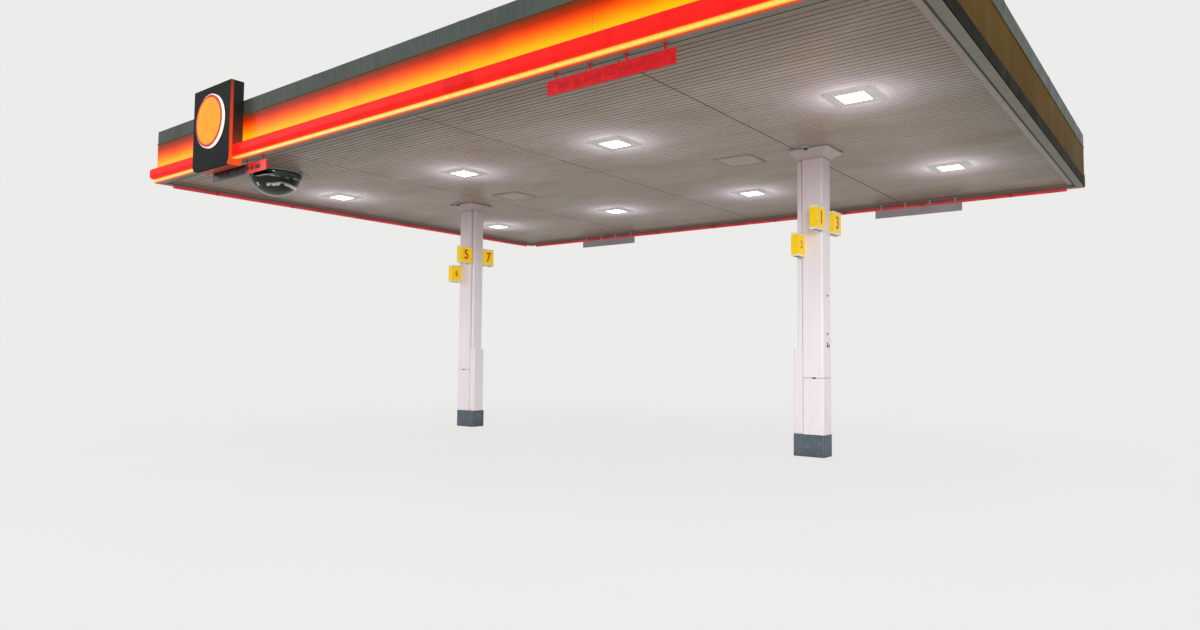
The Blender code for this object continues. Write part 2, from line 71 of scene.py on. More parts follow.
# Ways to mix two colours: the second laid over the first, or darkening it
OVER = {"data_type": "RGBA"}
TIMES = {"data_type": "RGBA", "blend_type": "MULTIPLY"}
BASE = "Base Color"
GLOW = "Emission Color"


def linear(hex_colour):
    """sRGB hex to linear red, green, blue and alpha."""
    values = [int(hex_colour[i:i + 2], 16) / 255 for i in (0, 2, 4)]
    return [v / 12.92 if v <= 0.04045 else ((v + 0.055) / 1.055) ** 2.4 for v in values] + [1.0]


def fill(made, inputs):
    """Sets each input, by name or in order, to a number or hex colour, or links it."""
    for key, value in inputs.items() if isinstance(inputs, dict) else enumerate(inputs):
        if isinstance(value, bpy.types.Node):
            value = next(socket for socket in value.outputs if socket.enabled)
        if isinstance(value, bpy.types.NodeSocket):
            made.id_data.links.new(value, made.inputs[key])
        else:
            made.inputs[key].default_value = linear(value) if isinstance(value, str) else value


def node(tree, kind, inputs, stops=(), **settings):
    """Adds a node with its settings, its links and, on a ramp, its (place, colour) stops."""
    made = tree.nodes.new("ShaderNode" + kind)
    for key, value in settings.items():
        setattr(made, key, value)
    fill(made, inputs)
    if stops:
        points = made.color_ramp.elements
        while len(points) < len(stops):
            points.new(0.5)
        for point, (place, colour) in zip(points, stops):
            point.position = place
            point.color = linear(colour)
    return made


def surface(name, colour, roughness, **sockets):
    """A new Principled material with its even values on the shader's own sockets."""
    material = bpy.data.materials.new(name)
    material.use_nodes = True
    tree = material.node_tree
    shader = tree.nodes["Principled BSDF"]
    fill(shader, {BASE: colour, "Roughness": roughness})
    fill(shader, {key.replace("_", " "): value for key, value in sockets.items()})
    return material, tree, shader, node(tree, "TexCoord", {}).outputs["Object"]


def per_metre(size_mm):
    """Pattern scale at which one cell is this many millimetres."""
    return 1000.0 / size_mm


def speckle(tree, coords, size_mm, detail=3.0, stretch=(1, 1, 1)):
    """Cloudy noise, 0 to 1, with cells of this size, longer where stretch is under 1."""
    spread = node(tree, "Mapping", {"Vector": coords, "Scale": stretch})
    return node(tree, "TexNoise", {"Vector": spread, "Scale": per_metre(size_mm),
                                   "Detail": detail})


def mottled(tree, coords, size_mm, stops, detail=3.0, stretch=(1, 1, 1)):
    """Colours in cloudy patches of this size."""
    return node(tree, "ValToRGB", [speckle(tree, coords, size_mm, detail, stretch)], stops)


def relief(tree, shader, coords, size_mm, depth_mm, strength, detail=1.0):
    """Bumps of a real size and depth."""
    fill(shader, {"Normal": node(tree, "Bump", {
        "Height": speckle(tree, coords, size_mm, detail), "Distance": depth_mm / 1000,
        "Strength": strength})})


def layered(tree, tone, *layers):
    """A colour darkened by layers of dust, streaks or wear in turn."""
    for layer in layers:
        tone = node(tree, "Mix", {0: 1.0, 6: tone, 7: layer}, **TIMES)
    return tone


def wavered(tree, coords, place, size_mm, reach, detail=2.0):
    """A place that drifts to and fro, up to reach, in patches of this size."""
    drift = node(tree, "MapRange", [speckle(tree, coords, size_mm, detail), 0.3, 0.7, -reach,
                                    reach])
    return node(tree, "Math", [place, drift], operation="ADD")


def along_side(tree, axes):
    """A place along any side of the roof: X runs along two of them and Y along the others."""
    return node(tree, "Math", [axes["X"], axes["Y"]], operation="ADD")


def glow_through(tree, shader, tone, share):
    """Lit plastic: one tone in its glow and, by share, in its paint."""
    fill(shader, {GLOW: tone, BASE: layered(tree, tone, share)})


def painted(shader):
    """What the shader's colour comes from so far."""
    return shader.inputs[BASE].links[0].from_socket


def coated(name, light, dark, gloss, patch_mm=900, stretch=(1, 1, 1), **sockets):
    """Painted or coated sheet: broad tone drift, uneven gloss and fine orange peel.

    The peel is drawn at 6 mm, several times its real 1 to 2 mm, so that it shows."""
    material, tree, shader, coords = surface(name, light, gloss, **sockets)
    tone = mottled(tree, coords, patch_mm, [(0.30, dark), (0.62, light)], 4.0, stretch)
    sheen = node(tree, "MapRange", [speckle(tree, coords, patch_mm / 3, 5.0, stretch), 0.3, 0.7,
                                    gloss - 0.06, gloss + 0.08])
    fill(shader, {BASE: tone, "Roughness": sheen})
    relief(tree, shader, coords, 6, 0.15, 0.35)
    return material, tree, shader, coords


# Finishes

PLANK_WIDTH = 0.188
LAMPS = {"X": (5.065, 1.58), "Y": (2.14,)}   # lamps' places each side of the middle
LAMP_GLOW = 1.5            # how far a lamp's light shows on the soffit
EDGE_SHADE_WIDTH = 1.5            # width of the painted shade border round the soffit
MIRROR_FOOT = 4.10
SIGN_FOOT = 4.36
LAMP_SPACING = 0.52        # scallops on the lit panels
MODULE_LENGTH = 0.344      # lengths of the red lens
STRIP_LAMP = 0.033
LAMP_GRID = 0.024
LIT_FROM = (-3.62, -3.50)  # where the front left board's painted shadow gives way to its painted glow
# Panel's glow from its foot to its top
PANEL_GLOW = [(0.0, "FFD212"), (0.18, "FFBC08"), (0.40, "FF8602"), (0.60, "FF4A00"),
              (0.78, "BE2A04"), (0.92, "84300A"), (1.0, "6E3410")]


def lamp_distance(tree, axes):
    """How far a point of the soffit lies from its nearest lamp, 0 to 1 over LAMP_GLOW."""
    off = []
    for axis, places in LAMPS.items():
        folded = node(tree, "Math", [axes[axis]], operation="ABSOLUTE")
        gaps = [node(tree, "Math", [node(tree, "Math", [folded, place], operation="SUBTRACT")],
                     operation="ABSOLUTE") for place in places]
        off.append(gaps[0] if len(gaps) == 1 else node(tree, "Math", gaps, operation="MINIMUM"))
    far = node(tree, "VectorMath", [node(tree, "CombineXYZ", off)], operation="LENGTH")
    return node(tree, "MapRange", [far, 0.0, LAMP_GLOW])


def edge_nearness(tree, axes):
    """0 over most of the soffit, rising to 1 at its edges."""
    past = [node(tree, "MapRange", [node(tree, "Math", [axes[axis]], operation="ABSOLUTE"),
                                    half - EDGE_SHADE_WIDTH, half])
            for axis, half in (("X", PANEL_X), ("Y", PANEL_Y))]
    return node(tree, "Math", past, operation="MAXIMUM")


def soffit_finish():
    """Coil-coated aluminium planks, satin white, with the white darkened to a painted shade. Each
    plank is a tone apart, and old dust and water marks lie in soft patches, as on a ceiling that
    traffic passes under. Painted shade darkens the border near the edges and the plank grooves,
    and painted lamp light glows round each downlight."""
    # Painted shade: the satin white base is darkened to a shaded tone.
    material, tree, shader, coords = coated("soffit_coil_coated_aluminium", "B0A093", "A9998C",
                                            0.36, 1400, stretch=(0.5, 1, 1))
    axes = node(tree, "SeparateXYZ", [coords]).outputs
    plank = node(tree, "Math", [node(tree, "MapRange", [axes["Y"], 0, PLANK_WIDTH])],
                 operation="FLOOR")
    shade = node(tree, "ValToRGB", [node(tree, "TexWhiteNoise", {"W": plank},
                                         noise_dimensions="1D")],
                 [(0.0, "F3F1F0"), (1.0, "FFFFFF")])
    dust = mottled(tree, coords, 320, [(0.32, "F6F3F0"), (0.60, "FFFFFF")], 6.0, (0.4, 1, 1))
    # Painted shade: darker towards the soffit's edges, far from the lamps.
    edges = node(tree, "ValToRGB", [edge_nearness(tree, axes)], [(0.0, "FFFFFF"),
                                                                 (1.0, "B4AEA6")])
    # Plank tone, dust and the painted edge shade, laid over the paint in turn.
    dusty = layered(tree, painted(shader), shade, dust, edges)
    # Painted shade: the plank grooves are darkened, more the deeper they run.
    groove = node(tree, "MapRange", [axes["Z"], SOFFIT_Z + 0.001, SOFFIT_Z + 0.010, 0.0, 0.80])
    # Painted light: a pool of lamp light glowing on the soffit round each downlight.
    shine = node(tree, "ValToRGB", [lamp_distance(tree, axes)],
                 [(0.0, "FFFFFF"), (0.20, "EFE5EC"), (0.32, "A79EAC"), (0.50, "665F6C"),
                  (0.68, "3D393F"), (1.0, "000000")])
    fill(shader, {BASE: node(tree, "Mix", {0: groove, 6: dusty, 7: "4C453F"}, **OVER),
                  GLOW: shine, "Emission Strength": 0.60})
    return material


def lit_panel_finish():
    """Gloss yellow coated aluminium, washed from below by the light bar: yellow at the foot,
    through orange and red to brown at the top, with soft scallops between the lamps."""
    material, tree, shader, coords = surface("fascia_gloss_coated_yellow_lit", "FFB010", 0.34,
                                             Emission_Strength=0.88, Specular_IOR_Level=0.04)
    axes = node(tree, "SeparateXYZ", [coords]).outputs
    scallop = node(tree, "Math", [along_side(tree, axes), 2 * math.pi / LAMP_SPACING],
                   operation="MULTIPLY")
    scallop = node(tree, "Math", [scallop], operation="SINE")
    scallop = node(tree, "Math", [scallop, 0.003], operation="MULTIPLY")
    height = node(tree, "Math", [axes["Z"], scallop], operation="ADD")
    height = wavered(tree, coords, height, 700, 0.008)
    glow = node(tree, "ValToRGB", [node(tree, "MapRange", [height, BAR_TOP, FASCIA_TOP])],
                PANEL_GLOW)
    grey = layered(tree, glow, "5C5C5C")
    streaks = mottled(tree, coords, 60, [(0.35, "ECE8E2"), (0.60, "FFFFFF")], 4.0, (1, 1, 0.08))
    fill(shader, {GLOW: glow, BASE: node(tree, "Mix", {0: 0.6, 6: grey, 7: streaks}, **TIMES)})
    relief(tree, shader, coords, 380, 2.0, 0.25)
    return material


def unlit_panel_finish():
    """The same gloss yellow sheet with its lamps off: its yellow darkened to an even amber as
    painted shade, and darker still towards its foot.
    """
    # Painted shade: the yellow paint is darkened to amber.
    material, tree, shader, coords = coated("fascia_gloss_coated_yellow", "5A4412", "523D0F",
                                            0.50, 1200, stretch=(1, 1, 0.3),
                                            Specular_IOR_Level=0.05, IOR=1.12)
    axes = node(tree, "SeparateXYZ", [coords]).outputs
    # Darker towards the foot of the panel.
    foot_darkening = node(tree, "MapRange", [axes["Z"], BAR_TOP, BAR_TOP + 0.25, 0.55, 0.0])
    fill(shader, {BASE: node(tree, "Mix", {0: foot_darkening, 6: painted(shader), 7: "4A3916"}, **OVER)})
    return material


def coping_finish():
    """Grey coil-coated steel capping with faint rain streaks down its face."""
    material, tree, shader, coords = coated("coping_coil_coated_grey_steel", "4A514C", "434945",
                                            0.50, 1100, IOR=1.15)
    streaks = mottled(tree, coords, 45, [(0.34, "EFEDEA"), (0.60, "FFFFFF")], 5.0, (1, 1, 0.06))
    fill(shader, {BASE: layered(tree, painted(shader), streaks)})
    return material


def lens_finish(name, bright, dim, glow):
    """Tinted opal acrylic over lamps: even saturated red, a little weaker between modules."""
    material, tree, shader, coords = surface(name, bright, 0.40, Emission_Strength=glow, IOR=1.49,
                                             Specular_IOR_Level=0.04)
    axes = node(tree, "SeparateXYZ", [coords]).outputs
    module = node(tree, "Math", [along_side(tree, axes), MODULE_LENGTH], operation="PINGPONG")
    fade = node(tree, "MapRange", [module, 0.0, 0.12, 0.5, 1.0])
    cloud = node(tree, "MapRange", [speckle(tree, coords, 240, 2.0), 0.3, 0.6, 0.7, 1.0])
    mixed = node(tree, "Math", [fade, cloud], operation="MULTIPLY")
    glow_through(tree, shader, node(tree, "ValToRGB", [mixed], [(0.0, dim), (0.8, bright)]),
                 "585858")
    return material


def strip_finish(name, stops, glow):
    """Clear-edged light strip: a pale yellow core between orange edges, with its row of
    lamps just showing. They are drawn at 66 mm, twice their real pitch, so that they show."""
    material, tree, shader, coords = surface(name, stops[2][1], 0.3, Emission_Strength=glow,
                                             Specular_IOR_Level=0.3)
    axes = node(tree, "SeparateXYZ", [coords]).outputs
    core = node(tree, "ValToRGB", [node(tree, "MapRange", [axes["Z"], STRIP_BOTTOM, BAR_BOTTOM])],
                stops)
    dots = node(tree, "Math", [along_side(tree, axes), STRIP_LAMP], operation="PINGPONG")
    spots = node(tree, "ValToRGB", [node(tree, "MapRange", [dots, 0.0, STRIP_LAMP])],
                 [(0.2, "FFFFFF"), (0.8, "FEF8F0")])
    glow_through(tree, shader, layered(tree, core, spots), "A0A0A0")
    return material


def glowing(name, light, dark, glow, gloss=0.2, patch_mm=160, share="C0C0C0", **sockets):
    """Glowing plastic with soft patches: lamps in the tube and emblem, painted light on the front
    right board and number signs.
    """
    material, tree, shader, coords = surface(name, light, gloss, Emission_Strength=glow,
                                             **sockets)
    glow_through(tree, shader, mottled(tree, coords, patch_mm, [(0.35, dark), (0.65, light)],
                                       2.0), share)
    relief(tree, shader, coords, 5, 0.1, 0.2)
    return material


def lamp_finish():
    """Frosted glass over a grid of lamps, bright enough to burn out to white."""
    material, tree, shader, coords = surface("downlight_frosted_glass", "FFFFFF", 0.35,
                                             Emission_Strength=5.0)
    axes = node(tree, "SeparateXYZ", [coords]).outputs
    grid = node(tree, "Math", [node(tree, "Math", [axes[axis], LAMP_GRID], operation="PINGPONG")
                               for axis in ("X", "Y")], operation="ADD")
    fill(shader, {GLOW: node(tree, "ValToRGB", [node(tree, "MapRange", [grid, 0.0,
                                                                        2 * LAMP_GRID])],
                             [(0.1, "FFFDF8"), (0.9, "F0E4DC")])})
    return material


def deck_finish():
    """Hot-dip galvanised deck: broken spangle in dull greys, chalkier in patches, and darker in
    its pans than on its crests. Spangle is drawn at 40 mm, about three times its real size, to
    show."""
    material, tree, shader, coords = surface("deck_galvanised_steel", "9A9D9D", 0.5,
                                             Metallic=0.7)
    spangle = node(tree, "TexVoronoi", {"Vector": coords, "Scale": per_metre(40)})
    grey = node(tree, "ValToRGB", [spangle.outputs["Color"]], [(0.0, "888C8C"), (1.0, "A4A7A7")])
    chalk = mottled(tree, coords, 1100, [(0.4, "FFFFFF"), (0.7, "E4E1DA")], 5.0, (1, 0.4, 1))
    height = node(tree, "SeparateXYZ", [coords]).outputs["Z"]
    crest = node(tree, "ValToRGB", [node(tree, "MapRange", [height, DECK_TOP - 0.034, DECK_TOP])],
                 [(0.0, "BFC2C2"), (1.0, "FFFFFF")])
    fill(shader, {BASE: layered(tree, grey, chalk, crest),
                  "Roughness": node(tree, "MapRange", [spangle.outputs["Distance"], 0.0, 0.6,
                                                       0.42, 0.6])})
    return material


def mirror_finish():
    """Silvered acrylic dome with painted reflections: a dark base and two broken bright stripes,
    as of things all round it, and a slight ripple from forming."""
    material, tree, shader, coords = surface("mirror_silvered_acrylic", "4A504B", 0.03,
                                             Metallic=1.0)
    axes = node(tree, "SeparateXYZ", [coords]).outputs
    level = node(tree, "MapRange", [wavered(tree, coords, axes["Z"], 300, 0.02, 1.0),
                                    MIRROR_FOOT, SOFFIT_Z])
    # Painted reflection: a dark base, as of dark surroundings mirrored in the dome.
    dark = node(tree, "ValToRGB", [level], [(0.0, "5A605B"), (0.30, "3E443F"), (0.62, "2E342F"),
                                            (1.0, "4A504B")])
    # Painted reflection: two bright stripes round the dome, broken in patches.
    painted_reflection_stripes = node(tree, "ValToRGB", [level], [(0.28, "000000"), (0.32, "FFFFFF"), (0.38, "D8D8D8"),
                                             (0.43, "000000"), (0.62, "000000"),
                                             (0.66, "9A9A9A"), (0.72, "000000")])
    broken = mottled(tree, coords, 110, [(0.44, "000000"), (0.54, "FFFFFF")], 1.0)
    seen = layered(tree, painted_reflection_stripes, broken)
    fill(shader, {BASE: node(tree, "Mix", {0: seen, 6: dark, 7: "F2F4F2"}, **OVER),
                  "Roughness": node(tree, "MapRange", [speckle(tree, coords, 90, 5.0), 0.45, 0.75,
                                                       0.015, 0.06])})
    relief(tree, shader, coords, 160, 1.5, 0.15)
    return material


def grimed(tree, shader, coords, film, size_mm, base, dirt):
    """Lays cloudy dirt over a colour, as thick as film says."""
    cloud = node(tree, "Math", [film, speckle(tree, coords, size_mm, 6.0)], operation="MULTIPLY")
    fill(shader, {BASE: node(tree, "Mix", {0: cloud, 6: base, 7: dirt}, **OVER)})


def casing_finish():
    """White polyester-coated steel: cool white, satin, greyer with road film near the ground,
    darker towards the soffit with painted shade, and streaked very faintly by rain."""
    material, tree, shader, coords = coated("casing_polyester_coated_white_steel", "F2EBF0",
                                            "EFE7EC", 0.38, 900, Coat_Weight=0.10)
    axes = node(tree, "SeparateXYZ", [coords]).outputs
    streaks = mottled(tree, coords, 70, [(0.32, "FCFBFB"), (0.60, "FFFFFF")], 4.0, (1, 1, 0.05))
    # Painted shade: the casing darkens towards the soffit above it.
    painted_shade_under_soffit = node(tree, "ValToRGB", [node(tree, "MapRange", [axes["Z"], 3.2, SOFFIT_Z])],
                [(0.0, "FFFFFF"), (1.0, "DDD1D2")])
    tone = layered(tree, painted(shader), streaks, painted_shade_under_soffit)
    film = node(tree, "MapRange", [axes["Z"], 0.35, 1.3, 0.10, 0.0])
    grimed(tree, shader, coords, film, 130, tone, "A8A29A")
    return material


def kick_finish():
    """Blue-grey two-part paint on the column foot, scuffed pale and splashed with dirt
    along its lower edge."""
    material, tree, shader, coords = coated("kick_two_part_paint", "54606B", "4A5661", 0.5, 260)
    axes = node(tree, "SeparateXYZ", [coords]).outputs
    scuff = mottled(tree, coords, 28, [(0.60, "000000"), (0.68, "FFFFFF")], 7.0, (1, 1, 2.5))
    scuffed = node(tree, "Mix", {0: scuff, 6: painted(shader), 7: "8A949C"}, **OVER)
    splash = node(tree, "MapRange", [axes["Z"], 0.0, 0.14, 0.8, 0.0])
    grimed(tree, shader, coords, splash, 40, scuffed, "3E3C38")
    return material


def rubber(name, colour):
    """Dull dark rubber or plastic, dusty in the hollows."""
    material, tree, shader, coords = surface(name, colour, 0.7)
    fill(shader, {BASE: mottled(tree, coords, 20, [(0.35, colour), (0.75, "3C3D3B")], 4.0)})
    relief(tree, shader, coords, 3, 0.1, 0.3)
    return material


def zinc_finish():
    """Zinc-plated steel fixings, dull silver."""
    material, tree, shader, coords = surface("fixing_zinc_plated_steel", "A9ABAB", 0.38,
                                             Metallic=1.0)
    fill(shader, {BASE: mottled(tree, coords, 12, [(0.3, "8E9090"), (0.7, "B4B6B6")])})
    return material


def plate_finish():
    """Charcoal textured powder coat on the corner sign, nearly black."""
    material, tree, shader, coords = surface("sign_plate_charcoal_powder_coat", "101312", 0.60,
                                             Specular_IOR_Level=0.06)
    fill(shader, {BASE: mottled(tree, coords, 500, [(0.3, "0E1110"), (0.7, "141817")], 4.0)})
    relief(tree, shader, coords, 4, 0.2, 0.5, 2.0)
    return material


def sign_edge_finish():
    """Orange acrylic edge, lit from the bar below it: bright at the foot, dull red at the top."""
    material, tree, shader, coords = surface("sign_edge_acrylic_orange_lit", "FF5A14", 0.22,
                                             Emission_Strength=0.8, Specular_IOR_Level=0.2)
    axes = node(tree, "SeparateXYZ", [coords]).outputs
    level = node(tree, "MapRange", [wavered(tree, coords, axes["Z"], 200, 0.03), SIGN_FOOT,
                                    COPING_TOP + 0.29])
    glow_through(tree, shader, node(tree, "ValToRGB", [level], [
        (0.0, "FF5A1A"), (0.35, "F2481A"), (0.75, "C03A18"), (1.0, "8A3018")]), "707070")
    return material


def sign_side_finish():
    """Gloss black acrylic on the sign's box. It catches the bar's red near its foot."""
    material, tree, shader, coords = coated("sign_side_gloss_black_acrylic", "1C1F1E", "181B1A",
                                            0.34, 500, Specular_IOR_Level=0.15)
    height = node(tree, "SeparateXYZ", [coords]).outputs["Z"]
    level = node(tree, "MapRange", [height, BAR_TOP, FASCIA_TOP + 0.1])
    fill(shader, {GLOW: node(tree, "ValToRGB", [level], [(0.0, "A83418"), (0.35, "5C2414"),
                                                         (1.0, "000000")]),
                  "Emission Strength": 0.5})
    return material


def shaded_board_finish():
    """Red acrylic board in painted shadow along most of its length, with a painted glow from the
    light bar at its right end.
    """
    material, tree, shader, coords = surface("board_red_acrylic_painted_shadow_and_glow", "E81A1E", 0.3,
                                             Emission_Strength=0.45, Specular_IOR_Level=0.25)
    axes = node(tree, "SeparateXYZ", [coords]).outputs
    # Painted shadow and glow: dark where the corner sign shades the board, glowing red towards the
    # right end.
    lit = node(tree, "MapRange", [wavered(tree, coords, axes["X"], 60, 0.02), *LIT_FROM])
    fill(shader, {GLOW: node(tree, "Mix", {0: lit, 6: "0A0504", 7: "E81A1E"}, **OVER),
                  BASE: node(tree, "Mix", {0: lit, 6: "1E1412", 7: "B01418"}, **OVER)})
    relief(tree, shader, coords, 5, 0.1, 0.2)
    return material


FINISH = {
    "soffit": soffit_finish(),
    # Painted shade: the trim's satin white is darkened further than the soffit's.
    "trim": coated("trim_satin_white_aluminium_painted_shade", "92867C", "8A7E74", 0.4, 600)[0],
    "lit_panel": lit_panel_finish(),
    "unlit_panel": unlit_panel_finish(),
    "return": coated("return_satin_grey_coated_aluminium", "7F7D72", "757368", 0.50, 700,
                     Specular_IOR_Level=0.2)[0],
    "coping": coping_finish(),
    "bar_lit": lens_finish("bar_opal_acrylic_red_lit", "FF2622", "F01C1C", 0.88),
    "bar_dim": lens_finish("bar_opal_acrylic_red_weak", "F6201E", "E81A1A", 0.83),
    # Painted shade: the band's near-black stands for the shade along the foot of the right fascia.
    "band": coated("band_dark_aluminium_painted_shade", "1F1D18", "1A1814", 0.55, 700,
                   Specular_IOR_Level=0.08, IOR=1.12)[0],
    "bar_core": rubber("bar_joint_dark_gasket", "3A0C0A"),
    "strip_lit": strip_finish("strip_clear_acrylic_amber_lit",
                              [(0.0, "C8240A"), (0.14, "FF8A1A"), (0.40, "FFD068"),
                               (0.74, "FFBE46"), (0.93, "FF8E18"), (1.0, "E8500A")], 0.9),
    "tube": glowing("edge_tube_tinted_acrylic_lit", "DA4348", "C4343A", 0.50, 0.16, 400,
                    Specular_IOR_Level=0.4),
    "deck": deck_finish(),
    "bezel": coated("downlight_white_powder_coat", "EDEAE8", "E2DFDC", 0.34, 300)[0],
    "lamp": lamp_finish(),
    # Painted shade: the hatch takes the soffit's darkened tone of its white.
    "hatch": coated("hatch_satin_coated_aluminium", "AC9C8F", "A49488", 0.38, 400)[0],
    "gasket": rubber("gasket_black_rubber", "191A19"),
    # Painted light: the front right board glows with the light bar's light; the board is no lamp.
    "board_lit": glowing("board_red_acrylic_painted_glow", "E21E26", "CC161E", 0.62, 0.35, 90,
                         share="7C7C7C", Specular_IOR_Level=0.1),
    "board_part_lit": shaded_board_finish(),
    "board_dash": coated("board_dark_red_vinyl", "AC141B", "9C1017", 0.5, 120,
                         Specular_IOR_Level=0.1)[0],
    "board_grey": coated("board_grey_coated_aluminium", "BBB3B8", "B0A8AD", 0.42, 300)[0],
    "strap_red": coated("hanger_red_coated_steel", "B4161A", "A01216", 0.35, 60)[0],
    "zinc": zinc_finish(),
    "plate": plate_finish(),
    "sign_side": sign_side_finish(),
    "plate_edge": sign_edge_finish(),
    "emblem": glowing("emblem_opal_acrylic_yellow_lit", "FFAC10", "FDA00C", 0.85, 0.35, 200,
                      share="606060", Specular_IOR_Level=0.05),
    "emblem_rim": glowing("emblem_red_acrylic_lit", "E8241A", "D81E18", 0.7, 0.3, 200,
                          share="606060", Specular_IOR_Level=0.08),
    "emblem_halo": glowing("emblem_white_acrylic_lit", "FFF0E8", "FFE4DC", 0.9, 0.25, 200),
    "mirror": mirror_finish(),
    "mirror_rim": coated("mirror_rim_grey_plastic", "8E9290", "828684", 0.3, 120,
                         Coat_Weight=0.3)[0],
    "casing": casing_finish(),
    "joint": coated("casing_joint_grey_sealant", "8C8789", "807B7D", 0.7, 60)[0],
    # Painted shade: the casing's white paint, darkened for the shade under the soffit.
    "capital": coated("capital_white_steel_painted_shade", "BFB0B1", "B7A8A9", 0.34, 500)[0],
    "edge_seal": coated("edge_seal_grey_pvc", "7E766E", "726A62", 0.6, 300)[0],
    "kick": kick_finish(),
    # Painted light: the number signs glow as if lit by the downlights; they are no lamps.
    "sign": glowing("number_sign_yellow_acrylic", "FFD60C", "FBCF0A", 0.45, 0.35,
                    Specular_IOR_Level=0.25),
    "sign_edge": coated("number_sign_white_trim", "F4F1E6", "E8E5DA", 0.35, 80)[0],
    "digit": coated("number_red_vinyl", "D8301C", "C82C1A", 0.4, 60)[0],
    "camera_ring": coated("camera_grey_polycarbonate", "B7B8B8", "A8A9A9", 0.35, 40)[0],
    "camera_dome": glowing("camera_smoked_polycarbonate", "16181A", "101214", 0.0, 0.06, 30,
                           Coat_Weight=1.0),
}


# Making pieces

WELD = 1e-5                # points closer than this become one
CORNER_STEPS = 10          # facets round a quarter turn


def finished(name, bm, finishes, replaces=(), crease=35):
    """Turns a bmesh into a piece that rides on the part, smooth except at sharp edges."""
    mesh = bpy.data.meshes.new(name)
    bmesh.ops.recalc_face_normals(bm, faces=bm.faces)
    bm.to_mesh(mesh)
    bm.free()
    for finish in finishes:
        mesh.materials.append(FINISH[finish])
    mesh.polygons.foreach_set("use_smooth", [True] * len(mesh.polygons))
    mesh.set_sharp_from_angle(angle=math.radians(crease))
    piece = bpy.data.objects.new(name, mesh)
    bpy.context.scene.collection.objects.link(piece)
    even = piece.modifiers.new("flat_faces_stay_flat", "WEIGHTED_NORMAL")
    even.keep_sharp = True
    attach(piece, "root")
    if replaces:
        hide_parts(*replaces)


def faces_of(verts):
    return list({face for vert in verts for face in vert.link_faces})


def edges_of(verts):
    return list({edge for vert in verts for edge in vert.link_edges})


def made_since(bm, before):
    return [vert for vert in bm.verts if vert not in before]


def box_middle(low, high):
    return ((low.x + high.x) / 2, (low.y + high.y) / 2)


def paint(verts, look):
    """Gives faces one of their piece's finishes, by its place in the piece's list."""
    for face in faces_of(verts):
        face.material_index = look


def add_block(bm, low, high, look=0, soft=0.0, steps=2):
    """A block between two corners, with edges rounded to a radius of soft."""
    size = [b - a for a, b in zip(low, high)]
    centre = [(a + b) / 2 for a, b in zip(low, high)]
    verts = bmesh.ops.create_cube(bm, size=1.0)["verts"]
    bmesh.ops.scale(bm, vec=size, verts=verts)
    bmesh.ops.translate(bm, vec=centre, verts=verts)
    paint(verts, look)
    if soft:
        bmesh.ops.bevel(bm, geom=edges_of(verts), offset=soft, segments=steps, profile=0.5,
                        affect="EDGES", material=-1)


def facing(direction):
    """A turn that takes +Z to this direction."""
    return Vector(direction).to_track_quat("Z", "Y").to_matrix().to_4x4()


def add_disc(bm, centre, direction, radius, height, look=0, sides=12, soft=0.0):
    """A short cylinder standing on centre, with its far edge rounded if asked."""
    place = Matrix.Translation(centre) @ facing(direction) @ Matrix.Translation((0, 0, height / 2))
    made = bmesh.ops.create_cone(bm, segments=sides, radius1=radius, radius2=radius, depth=height,
                                 cap_ends=True, matrix=place)["verts"]
    paint(made, look)
    if soft:
        end = Vector(centre) + Vector(direction).normalized() * height
        top = [f for f in faces_of(made) if len(f.verts) == sides
               and (f.calc_center_median() - end).length < height / 2]
        bmesh.ops.bevel(bm, geom=top[0].edges, offset=soft, segments=2, profile=0.5,
                        affect="EDGES", material=-1)


def arc(centre, radius, start, end, steps):
    """Points on an arc in degrees, ends included."""
    turns = [math.radians(start + (end - start) * i / steps) for i in range(steps + 1)]
    return [(centre[0] + radius * math.cos(t), centre[1] + radius * math.sin(t)) for t in turns]


def rounded_rectangle(width, depth, radius, steps):
    x = width / 2 - radius
    y = depth / 2 - radius
    corners = (((x, y), 0), ((-x, y), 90), ((-x, -y), 180), ((x, -y), 270))
    return [p for c, a in corners for p in arc(c, radius, a, a + 90, steps)]


def extruded(bm, faces, shift):
    """Pushes joined faces out into a closed solid and returns its far vertices."""
    grown = bmesh.ops.extrude_face_region(bm, geom=faces)["geom"]
    far = [g for g in grown if isinstance(g, bmesh.types.BMVert)]
    bmesh.ops.translate(bm, vec=shift, verts=far)
    return far


def add_stack(bm, levels_up, look=0, centre=(0, 0)):
    """A closed solid through like outlines, each given with its height."""
    outline, height = levels_up[0]
    near = [bm.verts.new((x + centre[0], y + centre[1], height)) for x, y in outline]
    base = bm.faces.new(near)
    face = base
    used = list(near)
    for outline, height in levels_up[1:]:
        grown = bmesh.ops.extrude_face_region(bm, geom=[face])["geom"]
        if face is not base:
            bmesh.ops.delete(bm, geom=[face], context="FACES_ONLY")
        face = next(g for g in grown if isinstance(g, bmesh.types.BMFace))
        for vert, (x, y) in zip(face.verts, outline):
            vert.co = (x + centre[0], y + centre[1], height)
        used += list(face.verts)
    paint(used, look)
    return used


def to_side(side):
    """From a side's own frame, x along it and -y outward, to the part's frame."""
    distance, turn = SIDES[side][1:]
    return Matrix.Rotation(math.radians(turn), 4, "Z") @ Matrix.Translation((0, -distance, 0))


def add_run(bm, side, section, start, end, look=0):
    """A section of (outward, height) points along part of one side.

    An end that reaches the corner is mitred."""
    half = SIDES[side][0]
    near = [bm.verts.new((0.0, -out, z)) for out, z in section]
    far = extruded(bm, [bm.faces.new(near)], (0, 0, 0))
    for verts, x in ((near, start), (far, end)):
        for vert in verts:
            mitred = math.copysign(half - vert.co.y - TOUCH, x)
            vert.co.x = mitred if abs(x) >= half else x
    verts = near + far
    bmesh.ops.transform(bm, matrix=to_side(side), verts=verts)
    paint(verts, look)


